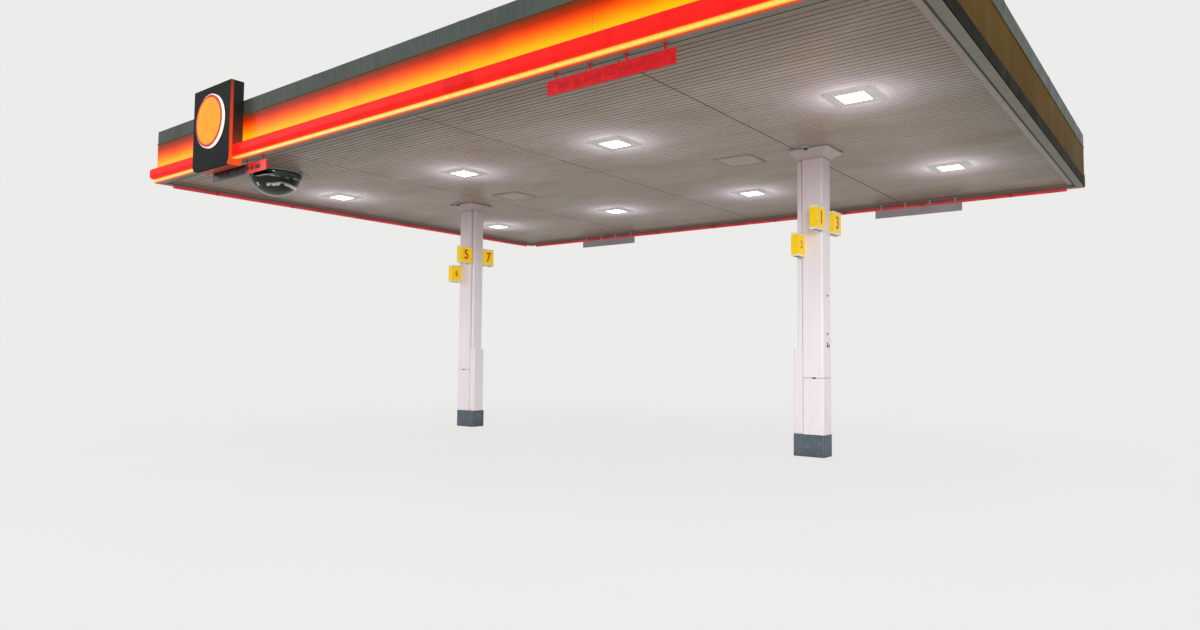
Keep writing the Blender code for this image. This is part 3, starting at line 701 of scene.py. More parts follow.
def add_corner(bm, side, section):
    """The section swung round the corner at the far end of one side."""
    half = SIDES[side][0]
    before = set(bm.verts)
    start = [bm.verts.new((half, -out, z)) for out, z in section]
    loop = [bm.edges.new((a, b)) for a, b in zip(start, start[1:] + start[:1])]
    swung = bmesh.ops.spin(bm, geom=start + loop, cent=(half, 0, 0), axis=(0, 0, 1),
                           angle=math.radians(90), steps=CORNER_STEPS, use_duplicate=False)
    bmesh.ops.contextual_create(bm, geom=loop)
    bmesh.ops.contextual_create(bm, geom=[g for g in swung["geom_last"]
                                          if isinstance(g, bmesh.types.BMEdge)])
    bmesh.ops.transform(bm, matrix=to_side(side), verts=made_since(bm, before))


def stretches(half, first, pitch, gap):
    """Lengths between joints along a side, each short of its joints by half a gap."""
    before = math.floor((first + half) / pitch)
    after = math.floor((half - first) / pitch)
    joints = [first + pitch * step for step in range(-before, after + 1)]
    starts = [-half] + [j + gap / 2 for j in joints]
    ends = [j - gap / 2 for j in joints] + [half]
    return list(zip(starts, ends))


# Soffit

SOFFIT_X = 6.455
SOFFIT_Y = 4.795
PLANK_COUNT = 50
PLANK_TOP = 0.022
SEAM_SETBACK = 0.006       # plank ends short of the open cross seams
TRIM_DROP = 0.005          # trim's face below the planks
TRIM_WIDTH_X = 0.100
TRIM_WIDTH_Y = 0.095
# One plank across its width: a middle groove, and a deeper joint to the next plank
PLANK_SECTION = [(0.006, PLANK_TOP), (0.006, 0.016), (0.011, 0.0), (0.083, 0.0),
                 (0.088, 0.010), (0.100, 0.010), (0.105, 0.0), (0.177, 0.0), (0.182, 0.016),
                 (0.194, 0.016), (0.194, PLANK_TOP)]


def make_planks(number):
    """Planks side by side over one section of the soffit."""
    node_name = "soffit_%d" % number
    low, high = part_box(node_name)
    bm = bmesh.new()
    for plank in range(PLANK_COUNT):
        y = (plank - PLANK_COUNT / 2) * PLANK_WIDTH
        near = [bm.verts.new((low.x + SEAM_SETBACK, y + across, SOFFIT_Z + up))
                for across, up in PLANK_SECTION]
        extruded(bm, [bm.faces.new(near)], (high.x - low.x - 2 * SEAM_SETBACK, 0, 0))
    finished("soffit_planks_%d" % number, bm, ["soffit"], [node_name])


def make_trim():
    """A flat mitred frame that covers the planks' ends all round."""
    bm = bmesh.new()
    corners = ((-1, -1), (1, -1), (1, 1), (-1, 1))
    z = SOFFIT_Z - TRIM_DROP
    outer = [bm.verts.new((sx * SOFFIT_X, sy * SOFFIT_Y, z)) for sx, sy in corners]
    inner = [bm.verts.new((sx * (SOFFIT_X - TRIM_WIDTH_X), sy * (SOFFIT_Y - TRIM_WIDTH_Y), z))
             for sx, sy in corners]
    for i in range(4):
        bm.faces.new((outer[i], outer[i - 1], inner[i - 1], inner[i])).normal_update()
    extruded(bm, bm.faces[:], (0, 0, TRIM_DROP - TOUCH))
    bmesh.ops.recalc_face_normals(bm, faces=bm.faces)
    for face in bm.faces:
        # Painted shade: the trim's thin upright edges are black, for the shade in the gaps beside
        # them.
        face.material_index = int(abs(face.normal.z) < 0.5)
    finished("soffit_edge_trim", bm, ["trim", "gasket"])


# Edges of the roof

RETURN_WIDTH = 0.110
PANEL_WALL = 0.030
LEDGE_END = 0.235
LEDGE_Z = 4.5303
LEDGE_THICK = 0.030
PANEL_PITCH = 2.02
PANEL_JOINT = 1.349        # one joint's place along the front
PANEL_GAP = 0.002
PANEL_SECTION = [(0, FASCIA_BOTTOM), (0, FASCIA_TOP), (-PANEL_WALL, FASCIA_TOP),
                 (-PANEL_WALL, LEDGE_Z + LEDGE_THICK), (-LEDGE_END, LEDGE_Z + LEDGE_THICK),
                 (-LEDGE_END, LEDGE_Z), (-RETURN_WIDTH, LEDGE_Z), (-RETURN_WIDTH, FASCIA_BOTTOM)]


def make_fascia(side):
    """Panels with a thin open joint between neighbours, and grey underneath."""
    bm = bmesh.new()
    for start, end in stretches(SIDES[side][0], PANEL_JOINT, PANEL_PITCH, PANEL_GAP):
        add_run(bm, side, PANEL_SECTION, start, end)
    bmesh.ops.recalc_face_normals(bm, faces=bm.faces)
    away = to_side(side).to_3x3() @ Vector((0, -1, 0))
    along = to_side(side).to_3x3() @ Vector((1, 0, 0))
    for face in bm.faces:
        outward, endward = face.normal.dot(away), abs(face.normal.dot(along))
        face.material_index = 0 if outward > 0.9 else 2 if endward > 0.9 else 1
    lit = "lit_panel" if side in LIT_SIDES else "unlit_panel"
    finished("fascia_panels_" + side, bm, [lit, "return", "gasket"],
             ["fascia_" + side])


SEAL_WIDTH = 0.028
SEAL_CHAMFER = 0.003
SEAL_FOOT = {"front": 4.461, "right": 4.461, "back": 4.482, "left": 4.482}


def make_edge_seal():
    """A seal between the fascia's return and the soffit's trim: black rubber along the front and
    right, its black painted shade for the shadow in the gap, and grey PVC along the back and left."""
    bm = bmesh.new()
    outer = -RETURN_WIDTH - TOUCH
    top = SOFFIT_Z - TRIM_DROP - TOUCH
    for side, foot in SEAL_FOOT.items():
        half = SIDES[side][0]
        inner = outer - SEAL_WIDTH
        section = [(outer, foot), (outer, top), (inner, top), (inner, foot + SEAL_CHAMFER),
                   (inner + SEAL_CHAMFER, foot)]
        # Painted shade: the front and right lengths are black, for the shadow in the gap to the
        # trim.
        add_run(bm, side, section, -half, half, look=int(side in ("back", "left")))
    finished("edge_seal", bm, ["gasket", "edge_seal"])


COPING_WIDTH = 0.140
COPING_WALL = 0.020
LIP_REACH = 0.008
LIP_HEIGHT = 0.018
COPING_BEND = 0.006        # chamfer along the top outer edge
COPING_SECTION = [(LIP_REACH, FASCIA_TOP + TOUCH), (LIP_REACH, FASCIA_TOP + LIP_HEIGHT),
                  (0, FASCIA_TOP + LIP_HEIGHT + 0.004), (0, COPING_TOP - COPING_BEND),
                  (-COPING_BEND, COPING_TOP), (-COPING_WIDTH, COPING_TOP),
                  (-COPING_WIDTH, DECK_TOP + TOUCH),
                  (COPING_WALL - COPING_WIDTH, DECK_TOP + TOUCH),
                  (COPING_WALL - COPING_WIDTH, COPING_TOP - COPING_WALL),
                  (-PANEL_WALL, COPING_TOP - COPING_WALL), (-PANEL_WALL, FASCIA_TOP + TOUCH)]
STRAP_FACE = 0.0025        # proud of the coping
STRAP_FOOT = FASCIA_TOP + 0.024
STRAP_SECTION = [(TOUCH, STRAP_FOOT), (STRAP_FACE, STRAP_FOOT), (STRAP_FACE, COPING_TOP - 0.004),
                 (-0.005, COPING_TOP + STRAP_FACE), (-COPING_WIDTH, COPING_TOP + STRAP_FACE),
                 (-COPING_WIDTH, COPING_TOP + TOUCH), (-COPING_BEND, COPING_TOP + TOUCH),
                 (TOUCH, COPING_TOP - COPING_BEND)]
STRAP_WIDTH = 0.080
COPING_PITCH = 3.03
COPING_GAP = 0.004


def make_coping(side):
    """Capping in long lengths, with a cover strap over each joint."""
    bm = bmesh.new()
    lengths = stretches(SIDES[side][0], PANEL_JOINT, COPING_PITCH, COPING_GAP)
    for start, end in lengths:
        add_run(bm, side, COPING_SECTION, start, end)
    for start, end in lengths[:-1]:
        add_run(bm, side, STRAP_SECTION, end - STRAP_WIDTH / 2, end + STRAP_WIDTH / 2)
    finished("coping_" + side + "_capping", bm, ["coping"], ["coping_" + side])


STRIP_REACH = 0.040
STRIP_RADIUS = 0.014
BAR_REACH = 0.115
BAR_RADIUS = 0.055
BAR_JOINT = 1.30
BAR_PITCH = 2.065
BAR_GAP = 0.004
CORE_INSET = 0.004         # dark core seen in the lens joints
DIM_STRETCH = (1.206, 1.721)   # a weaker length of lens on the front


def bar_section(inset=0.0):
    nose = (BAR_REACH - BAR_RADIUS, BAR_RADIUS - inset)
    section = [(TOUCH, BAR_BOTTOM + inset)]
    section += arc((nose[0], BAR_BOTTOM + BAR_RADIUS), nose[1], -90, 0, 8)
    section += arc((nose[0], BAR_TOP - BAR_RADIUS), nose[1], 0, 90, 8)
    return section + [(TOUCH, BAR_TOP - inset)]


def strip_section():
    section = [(TOUCH, STRIP_BOTTOM)]
    section += arc((STRIP_REACH - STRIP_RADIUS, STRIP_BOTTOM + STRIP_RADIUS), STRIP_RADIUS,
                   -90, 0, 5)
    return section + [(STRIP_REACH, BAR_BOTTOM - TOUCH), (TOUCH, BAR_BOTTOM - TOUCH)]


def make_light_bar(side):
    """Red lens lengths over a slim strip. They end square at the right side of the roof and
    turn the left corners, each with its far end."""
    half = SIDES[side][0]
    lens, strip, core = bmesh.new(), bmesh.new(), bmesh.new()
    for start, end in stretches(half, BAR_JOINT, BAR_PITCH, BAR_GAP):
        start, end = max(start, TOUCH - half), min(end, half - TOUCH)
        cuts = [start, end]
        if side == "front":
            cuts = sorted(cuts + [x for x in DIM_STRETCH if start < x < end])
        for first, last in zip(cuts, cuts[1:]):
            middle = (first + last) / 2
            weak = side == "front" and DIM_STRETCH[0] < middle < DIM_STRETCH[1]
            add_run(lens, side, bar_section(), first, last, look=int(weak))
        add_run(strip, side, strip_section(), start, end)
    add_run(core, side, bar_section(CORE_INSET), TOUCH - half, half - TOUCH)
    if side != "front":
        add_corner(lens, side, bar_section())
        add_corner(strip, side, strip_section())
    finished("bar_lens_" + side, lens, ["bar_lit", "bar_dim"], ["light_bar_" + side])
    finished("bar_strip_" + side, strip, ["strip_lit"])
    finished("bar_core_" + side, core, ["bar_core"])


def make_edge_band():
    """The right side's flat unlit band, in lengths between the fascia's joints. Its near-black is
    painted shade along the foot of the right fascia.
    """
    low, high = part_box("light_bar_right")
    bm = bmesh.new()
    for start, end in stretches(PANEL_Y, PANEL_JOINT, PANEL_PITCH, PANEL_GAP):
        add_block(bm, (low.x, max(start, low.y), low.z), (high.x, min(end, high.y), high.z),
                  soft=0.003)
    finished("edge_band_right", bm, ["band"], ["light_bar_right"])


TUBE_RADIUS = 0.028
TUBE_SIDES = 24
TUBE_INSET = 0.071
TUBE_END_GAP = 0.255
TUBE_Z = FASCIA_BOTTOM - TOUCH - TUBE_RADIUS
CLIP_PITCH = 1.55
CLIP_WIDTH = 0.035
CLIP_THICK = 0.0025


def add_bar(bm, x, radius, length):
    """A round bar along the tube's line."""
    place = Matrix.Translation((x, TUBE_INSET, TUBE_Z)) @ Matrix.Rotation(math.radians(90), 4, "Y")
    return bmesh.ops.create_cone(bm, segments=TUBE_SIDES, radius1=radius, radius2=radius,
                                 depth=length, cap_ends=True, matrix=place)["verts"]


def make_edge_tube(side):
    """A round-ended lit tube held by narrow clips."""
    length = 2 * (SIDES[side][0] - TUBE_END_GAP)
    bm = bmesh.new()
    tube = add_bar(bm, 0, TUBE_RADIUS, length)
    rims = [e for f in faces_of(tube) if len(f.verts) == TUBE_SIDES for e in f.edges]
    bmesh.ops.bevel(bm, geom=rims, offset=TUBE_RADIUS * 0.6, segments=4, profile=0.5,
                    affect="EDGES", material=-1)
    count = int(length / CLIP_PITCH)
    for number in range(count):
        clip = add_bar(bm, (number - (count - 1) / 2) * CLIP_PITCH, TUBE_RADIUS + CLIP_THICK,
                       CLIP_WIDTH)
        for vert in clip:
            vert.co.z = min(vert.co.z, FASCIA_BOTTOM - TOUCH)
        paint(clip, 1)
    bmesh.ops.transform(bm, matrix=to_side(side), verts=bm.verts)
    finished("edge_tube_lit_" + side, bm, ["tube", "strap_red"],
             ["edge_tube_" + side])


RIB_PITCH = 0.250
RIB_HEIGHT = 0.035
RIB_FOOT = 0.050
RIB_CREST = 0.022
STIFFENER = 0.006
DECK_CREASE = 20           # degrees; edges that bend more stay sharp


def make_deck():
    """Ribbed roof sheet with a low stiffener between its ribs, pushed from front to back.
    Every second rib is one of the solid deck's."""
    low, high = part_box("roof_deck")
    pan = high.z - RIB_HEIGHT
    profile = [(low.x, low.z), (low.x, pan)]
    count = 2 * round((high.x - low.x) / (2 * RIB_PITCH))
    pitch = (high.x - low.x) / count
    for number in range(1, count):
        x = low.x + pitch * number
        profile += [(x - RIB_FOOT, pan), (x - RIB_CREST, high.z), (x + RIB_CREST, high.z),
                    (x + RIB_FOOT, pan)]
        if number < count - 1:
            profile += [(x + pitch / 2 + across, pan + up) for across, up in (
                (-0.014, 0), (-0.006, STIFFENER), (0.006, STIFFENER), (0.014, 0))]
    profile += [(high.x, pan), (high.x, low.z)]
    bm = bmesh.new()
    near = [bm.verts.new((x, low.y, z)) for x, z in profile]
    extruded(bm, [bm.faces.new(near)], (0, high.y - low.y, 0))
    finished("roof_deck_ribbed", bm, ["deck"], ["roof_deck"], DECK_CREASE)


# Fittings under the soffit

LENS_HALF = 0.150
BEZEL_THICK = 0.028
BEZEL_SOFT = 0.003
BEZEL_RADIUS = 0.055
COLLAR_HEIGHT = 0.012      # raised inner frame, down from the plate
COLLAR_RADIUS = 0.060
WELL_HALF = LENS_HALF + 0.030
GLASS_HALF = LENS_HALF + 0.016
SCREW_INSET = 0.045
# The inner frame and its sloped well, out from the lens and up from the lowest face
COLLAR_SECTION = [(0.080, COLLAR_HEIGHT), (0.070, BEZEL_SOFT), (0.066, 0), (0.022, 0),
                  (0.018, BEZEL_SOFT), (-0.001, 0.014), (0.040, 0.020), (0.080, 0.020)]


def add_square_ring(bm, centre, loops, radius):
    """A closed ring through rounded squares, each given as (half width, height) in turn."""
    widest = max(half for half, z in loops)
    rings = []
    for half, z in loops:
        outline = rounded_rectangle(2 * half, 2 * half, max(radius + half - widest, 0.010), 6)
        rings.append([bm.verts.new((x + centre[0], y + centre[1], z)) for x, y in outline])
    for first, second in zip(rings, rings[1:] + rings[:1]):
        for i in range(len(first)):
            bm.faces.new((first[i - 1], first[i], second[i], second[i - 1]))


def make_downlight(number):
    """A rounded white plate with a raised inner frame, a sloped well and four screws."""
    node_name = "downlight_%d" % number
    low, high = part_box(node_name)
    x, y = box_middle(low, high)
    half = (high.x - low.x) / 2
    foot = high.z - BEZEL_THICK
    face = foot + COLLAR_HEIGHT
    bm = bmesh.new()
    plate = [(half, high.z), (half, face + BEZEL_SOFT), (half - BEZEL_SOFT, face),
             (WELL_HALF, face), (WELL_HALF, high.z)]
    add_square_ring(bm, (x, y), plate, BEZEL_RADIUS)
    add_square_ring(bm, (x, y), [(LENS_HALF + out, foot + up) for out, up in COLLAR_SECTION],
                    COLLAR_RADIUS)
    spot = half - SCREW_INSET
    for sx, sy in ((-1, -1), (-1, 1), (1, -1), (1, 1)):
        add_disc(bm, (x + sx * spot, y + sy * spot, face), DOWN, radius=0.010, height=0.004,
                 look=1, sides=10, soft=0.0015)
    finished("downlight_bezel_%d" % number, bm, ["bezel", "zinc"], [node_name])
    glass = bmesh.new()
    add_block(glass, (x - GLASS_HALF, y - GLASS_HALF, foot + 0.002),
              (x + GLASS_HALF, y + GLASS_HALF, face), soft=0.004)
    finished("downlight_glass_%d" % number, glass, ["lamp"])


HATCH_RIM = 0.016
HATCH_GAP = 0.014          # dark line between the frame and the door
LOCK_INSET = 0.12


def make_hatch(number):
    """A flush door in a thin frame, with a dark gasket line and two quarter-turn locks."""
    node_name = "hatch_%d" % number
    low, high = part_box(node_name)
    bm = bmesh.new()
    left, right = low.x + HATCH_RIM, high.x - HATCH_RIM
    near, far = low.y + HATCH_RIM, high.y - HATCH_RIM
    for (x0, y0), (x1, y1) in (((low.x, low.y), (high.x, near)), ((low.x, far), (high.x, high.y)),
                               ((low.x, near), (left, far)), ((right, near), (high.x, far))):
        add_block(bm, (x0, y0, low.z), (x1, y1, high.z), soft=0.0015, steps=1)
    face = low.z + 0.001
    add_block(bm, (left + HATCH_GAP, near + HATCH_GAP, face),
              (right - HATCH_GAP, far - HATCH_GAP, high.z - 0.003), soft=0.003)
    add_block(bm, (left, near, high.z - 0.002), (right, far, high.z - TOUCH), look=1)
    for y in (low.y + LOCK_INSET, high.y - LOCK_INSET):
        add_disc(bm, (right - HATCH_GAP - 0.035, y, face), DOWN, radius=0.012, height=0.003,
                 look=2, sides=14, soft=0.001)
    finished("hatch_door_%d" % number, bm, ["hatch", "gasket", "zinc"],
             [node_name])


BOARD_HEIGHT = 0.155
BOARD_RIM = 0.010
FACE_SETBACK = 0.003       # faces lie behind the rim
HANGER_COUNT = 4
HANGER_INSET = 0.12
DASHES = (0.16, 0.10, 0.22, 0.13, 0.18, 0.09, 0.14)
DASH_START = 0.16
DASH_GAP = 0.045
DASH_HEIGHTS = (0.046, 0.109)
DASH_THICK = 0.0012
BOARD_FACES = {"front_left": "board_part_lit", "front_right": "board_lit"}


def make_board(spot):
    """A thin board with a rolled rim, straps with bolts, and plain dashes on a lit face."""
    node_name = "clearance_board_" + spot
    low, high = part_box(node_name)
    lit = spot.startswith("front")
    top = low.z + BOARD_HEIGHT
    bm = bmesh.new()
    near, far = low.y + FACE_SETBACK, high.y - FACE_SETBACK
    add_block(bm, (low.x + BOARD_RIM, near, low.z + BOARD_RIM),
              (high.x - BOARD_RIM, far, top - BOARD_RIM))
    for z in (low.z, top - BOARD_RIM):
        add_block(bm, (low.x, low.y, z), (high.x, high.y, z + BOARD_RIM), soft=0.002)
    for x in (low.x, high.x - BOARD_RIM):
        add_block(bm, (x, low.y, low.z + BOARD_RIM), (x + BOARD_RIM, high.y, top - BOARD_RIM),
                  soft=0.002)
    if lit:
        foot, head = [low.z + height for height in DASH_HEIGHTS]
        x = low.x + DASH_START
        for length in DASHES:
            for y in (near - DASH_THICK, far):
                add_block(bm, (x, y, foot), (x + length, y + DASH_THICK, head), look=1,
                          soft=0.0004, steps=1)
            x += length + DASH_GAP
    middle = (low.y + high.y) / 2
    ceiling = high.z if lit else SOFFIT_Z - TRIM_DROP - TOUCH
    pitch = (high.x - low.x - 2 * HANGER_INSET) / (HANGER_COUNT - 1)
    for number in range(HANGER_COUNT):
        x = low.x + HANGER_INSET + number * pitch
        # strap, then the plate that it hangs from
        for half_x, half_y, foot, head, soft in ((0.015, 0.005, top - 0.020, ceiling, 0.002),
                                                 (0.030, 0.012, ceiling - 0.005, ceiling, 0.001)):
            add_block(bm, (x - half_x, middle - half_y, foot), (x + half_x, middle + half_y, head),
                      look=2, soft=soft, steps=1)
        for y, out in ((low.y, -1), (high.y, 1)):
            add_disc(bm, (x, y, top - 0.005), (0, out, 0), radius=0.004, height=0.003, look=3,
                     sides=8)
    finishes = [BOARD_FACES.get(spot, "board_grey"),
                "gasket" if spot == "front_left" else "board_dash",
                "strap_red" if lit else "board_grey", "zinc"]
    finished("board_" + spot, bm, finishes, [node_name])


MIRROR_RIM = 0.022


def spun(bm, profile, centre, look=0, sides=64):
    """Turns (radius, height) points about the upright axis through centre."""
    before = set(bm.verts)
    points = [bm.verts.new((centre[0] + r, centre[1], centre[2] + z)) for r, z in profile]
    lines = [bm.edges.new(pair) for pair in zip(points, points[1:])]
    bmesh.ops.spin(bm, geom=points + lines, cent=centre, axis=(0, 0, 1),
                   angle=2 * math.pi, steps=sides, use_merge=True, use_duplicate=False)
    bmesh.ops.remove_doubles(bm, verts=made_since(bm, before), dist=WELD)
    paint(made_since(bm, before), look)


def bowl(radius, top, bottom, steps):
    """(radius, height) points down a dome, from its edge to just short of its lowest point."""
    turns = [math.pi / 2 * i / steps for i in range(steps)]
    return [(radius * math.cos(t), top - (top - bottom) * math.sin(t)) for t in turns]


def make_mirror():
    """A dome drawn down from a rolled bright rim, with four clips."""
    low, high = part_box("dome_mirror")
    centre = (*box_middle(low, high), high.z)
    radius = (high.x - low.x) / 2
    drop = high.z - low.z
    dome = bmesh.new()
    profile = [(0, -0.004), (radius - 0.012, -0.004), (radius - 0.012, -MIRROR_RIM)]
    profile += bowl(radius - 0.014, -MIRROR_RIM, -drop, 24) + [(0, -drop)]
    spun(dome, profile, centre)
    finished("mirror_dome", dome, ["mirror"], ["dome_mirror"])
    rim = bmesh.new()
    ring = [(radius - 0.011, -0.001), (radius - 0.002, -0.001), (radius, -0.006),
            (radius, -MIRROR_RIM - 0.002), (radius - 0.004, -MIRROR_RIM - 0.008),
            (radius - 0.013, -MIRROR_RIM - 0.008), (radius - 0.011, -0.001)]
    spun(rim, ring, centre)
    for x, y in arc(centre, radius - 0.010, 45, 315, 3):
        add_disc(rim, (x, y, centre[2] - MIRROR_RIM - 0.007), DOWN, radius=0.009, height=0.004,
                 look=1, sides=10, soft=0.001)
    finished("mirror_rim", rim, ["mirror_rim", "zinc"])


# Corner sign

PLATE_RADIUS = 0.110
FACE_THICK = 0.050         # dark face sheet and the lit edge behind it
SIGN_CLEAR = 0.010         # round the light bar
SIDEWAYS = 0.35            # a face that turns more than this to the side is edge
EMBLEM_SIDES = 96


def plate_outline(width, height, radius, inset=0.0):
    half = width / 2 - inset
    r = radius - inset
    outline = [(-half, height - inset), (-half, radius)]
    outline += arc((r - half, radius), r, 180, 270, 10)[1:]
    outline += arc((half - r, radius), r, 270, 360, 10)
    return outline + [(half, height - inset)]


def stand(x, y, z):
    """Stands a flat shape up, facing the front."""
    return Matrix.Translation((x, y, z)) @ Matrix.Rotation(math.radians(90), 4, "X")


def make_corner_sign():
    """A charcoal face sheet, a lit edge behind it, then a dark box back to the fascia.

    The light bar passes through between the box's upper part and its underside."""
    low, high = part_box("corner_sign")
    width, height = high.x - low.x, high.z - low.z
    back = low.y + FACE_THICK
    x = (low.x + high.x) / 2
    bm = bmesh.new()
    edge = plate_outline(width, height, PLATE_RADIUS)
    inner = plate_outline(width, height, PLATE_RADIUS, 0.004)
    used = add_stack(bm, [(inner, 0.0), (edge, 0.003), (edge, FACE_THICK - 0.003),
                          (inner, FACE_THICK)])
    bmesh.ops.transform(bm, matrix=stand(x, back, low.z), verts=used)
    bmesh.ops.recalc_face_normals(bm, faces=bm.faces)
    for face in bm.faces:
        face.material_index = int(abs(face.normal.x) > SIDEWAYS)
    add_block(bm, (low.x, back + TOUCH, BAR_TOP + SIGN_CLEAR), (high.x, high.y, high.z), look=2,
              soft=0.004)
    rim = STRIP_BOTTOM - SIGN_CLEAR - low.z
    under = [(-width / 2, rim)] + [p for p in edge if p[1] < rim] + [(width / 2, rim)]
    used = add_stack(bm, [(under, 0.0), (under, high.y - back - TOUCH)], look=2)
    bmesh.ops.transform(bm, matrix=stand(x, high.y, low.z), verts=used)
    bmesh.ops.recalc_face_normals(bm, faces=bm.faces)
    for face in faces_of(used):
        if abs(face.normal.x) > SIDEWAYS:
            face.material_index = 1
    finished("sign_box", bm, ["plate", "plate_edge", "sign_side"],
             ["corner_sign"])


def make_emblem():
    """A round lit can, with a red disc and a plain yellow face stepped out of it."""
    low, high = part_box("corner_emblem")
    depth = high.y - low.y
    # Piece, finish, where it starts in front of the box, thickness, inset, rounding
    layers = (("emblem_lit_can", "emblem_halo", 0.0, depth - 0.012, 0.0, 0.004),
              ("emblem_rim_disc", "emblem_rim", depth - 0.012, 0.006, 0.012, 0.002),
              ("emblem_face", "emblem", depth - 0.006, 0.006, 0.055, 0.004))
    for name, finish, out, thick, inset, soft in layers:
        bm = bmesh.new()
        add_disc(bm, ((low.x + high.x) / 2, high.y - out, (low.z + high.z) / 2), (0, -1, 0),
                 (high.x - low.x) / 2 - inset, thick, sides=EMBLEM_SIDES, soft=soft)
        finished(name, bm, [finish], [] if out else ["corner_emblem"])


# Columns

JOINT_LEVEL = 1.14
JOINT_HEIGHT = 0.008
JOINT_DEPTH = 0.005
COVER_SOFT = 0.003


def make_upright(name, node_name, radius, finish, slot, joint):
    """A round-cornered cover, softened at both ends, with a sunk level joint if asked."""
    low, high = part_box(node_name)
    size = (high.x - low.x, high.y - low.y)

    def outline(inset):
        return rounded_rectangle(*[s - 2 * inset for s in size], radius - inset, CORNER_STEPS)

    full, trim = outline(0), outline(COVER_SOFT)
    stack = [(trim, low.z), (full, low.z + COVER_SOFT)]
    if joint:
        sunk = outline(JOINT_DEPTH)
        under, over = JOINT_LEVEL - JOINT_HEIGHT / 2, JOINT_LEVEL + JOINT_HEIGHT / 2
        stack += [(full, under), (sunk, under), (sunk, over), (full, over)]
    stack += [(full, high.z - COVER_SOFT), (trim, high.z)]
    bm = bmesh.new()
    add_stack(bm, stack, centre=box_middle(low, high))
    if joint:
        bmesh.ops.recalc_face_normals(bm, faces=bm.faces)
        for face in bm.faces:
            if abs(face.calc_center_median().z - JOINT_LEVEL) < JOINT_HEIGHT * 0.6:
                face.material_index = 1
    finished(name, bm, [finish, "joint"], [node_name])


CAPITAL_LIP = 0.010        # foot of the capital, proud of casing and duct
CAPITAL_EDGE = 0.022       # upright edges at the capital's foot and head
CAPITAL_RADIUS = 0.012
CAPITAL_CREASE = 25
SEAL_HEIGHT = 0.006
SEAL_INSET = 0.006


def make_capital(name):
    """A skirt that flares from the column's outline to a square, under a dark seal line."""
    node_name = "capital_" + name
    low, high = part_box(node_name)
    casing_low, casing_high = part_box("casing_" + name)
    duct_low, duct_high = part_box("duct_" + name)
    left = min(casing_low.x, duct_low.x) - CAPITAL_LIP
    right = max(casing_high.x, duct_high.x) + CAPITAL_LIP
    foot_y = casing_high.y + CAPITAL_LIP
    x, y = box_middle(low, high)
    top = rounded_rectangle(high.x - low.x, high.y - low.y, CAPITAL_RADIUS, 4)
    foot = [(px + (left + right) / 2 - x, py)
            for px, py in rounded_rectangle(right - left, 2 * foot_y, CAPITAL_RADIUS, 4)]
    seat = high.z - SEAL_HEIGHT
    bm = bmesh.new()
    add_stack(bm, [(foot, low.z), (foot, low.z + CAPITAL_EDGE), (top, seat - CAPITAL_EDGE),
                   (top, seat)], centre=(x, y))
    add_block(bm, (low.x + SEAL_INSET, low.y + SEAL_INSET, seat),
              (high.x - SEAL_INSET, high.y - SEAL_INSET, high.z), look=1)
    finished("capital_skirt_" + name, bm, ["capital", "gasket"], [node_name],
             CAPITAL_CREASE)


CAMERA_SIDES = 32


def make_camera(name):
    """A pale base ring with a smoked dome below."""
    node_name = "camera_" + name
    low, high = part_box(node_name)
    centre = (*box_middle(low, high), high.z)
    radius = (high.x - low.x) / 2
    drop = high.z - low.z
    bm = bmesh.new()
    ring = [(0, 0), (radius - 0.002, 0), (radius, -0.003), (radius, -0.022),
            (radius - 0.006, -0.030), (radius - 0.014, -0.030), (0, -0.028)]
    spun(bm, ring, centre, sides=CAMERA_SIDES)
    reach = radius - 0.015
    spun(bm, [(0, -0.026), (reach, -0.026)] + bowl(reach, -0.029, -drop, 10) + [(0, -drop)],
         centre, look=1, sides=CAMERA_SIDES)
    finished("camera_dome_" + name, bm, ["camera_ring", "camera_dome"],
             [node_name])


def number_shape(text, size, depth):
    """A number as a thin solid, upright and centred on the origin, facing +Z."""
    curve = bpy.data.curves.new("number", "FONT")
    curve.body = text
    curve.size = size
    curve.extrude = depth / 2
    curve.align_x = "CENTER"
    curve.align_y = "CENTER"
    curve.offset = size * 0.02
    holder = bpy.data.objects.new("number", curve)
    bpy.context.scene.collection.objects.link(holder)
    bpy.context.view_layer.update()
    shape = bpy.data.meshes.new_from_object(holder.evaluated_get(
        bpy.context.evaluated_depsgraph_get()))
    bpy.data.objects.remove(holder)
    return shape


DIGIT_SIZES = (0.150, 0.258)   # on the lower and the upper sign of a pair
DIGIT_DEPTH = 0.003
SIGN_CAP = 0.028           # height of the white end caps
SIGN_SETBACK = 0.002       # the yellow box's, behind its caps


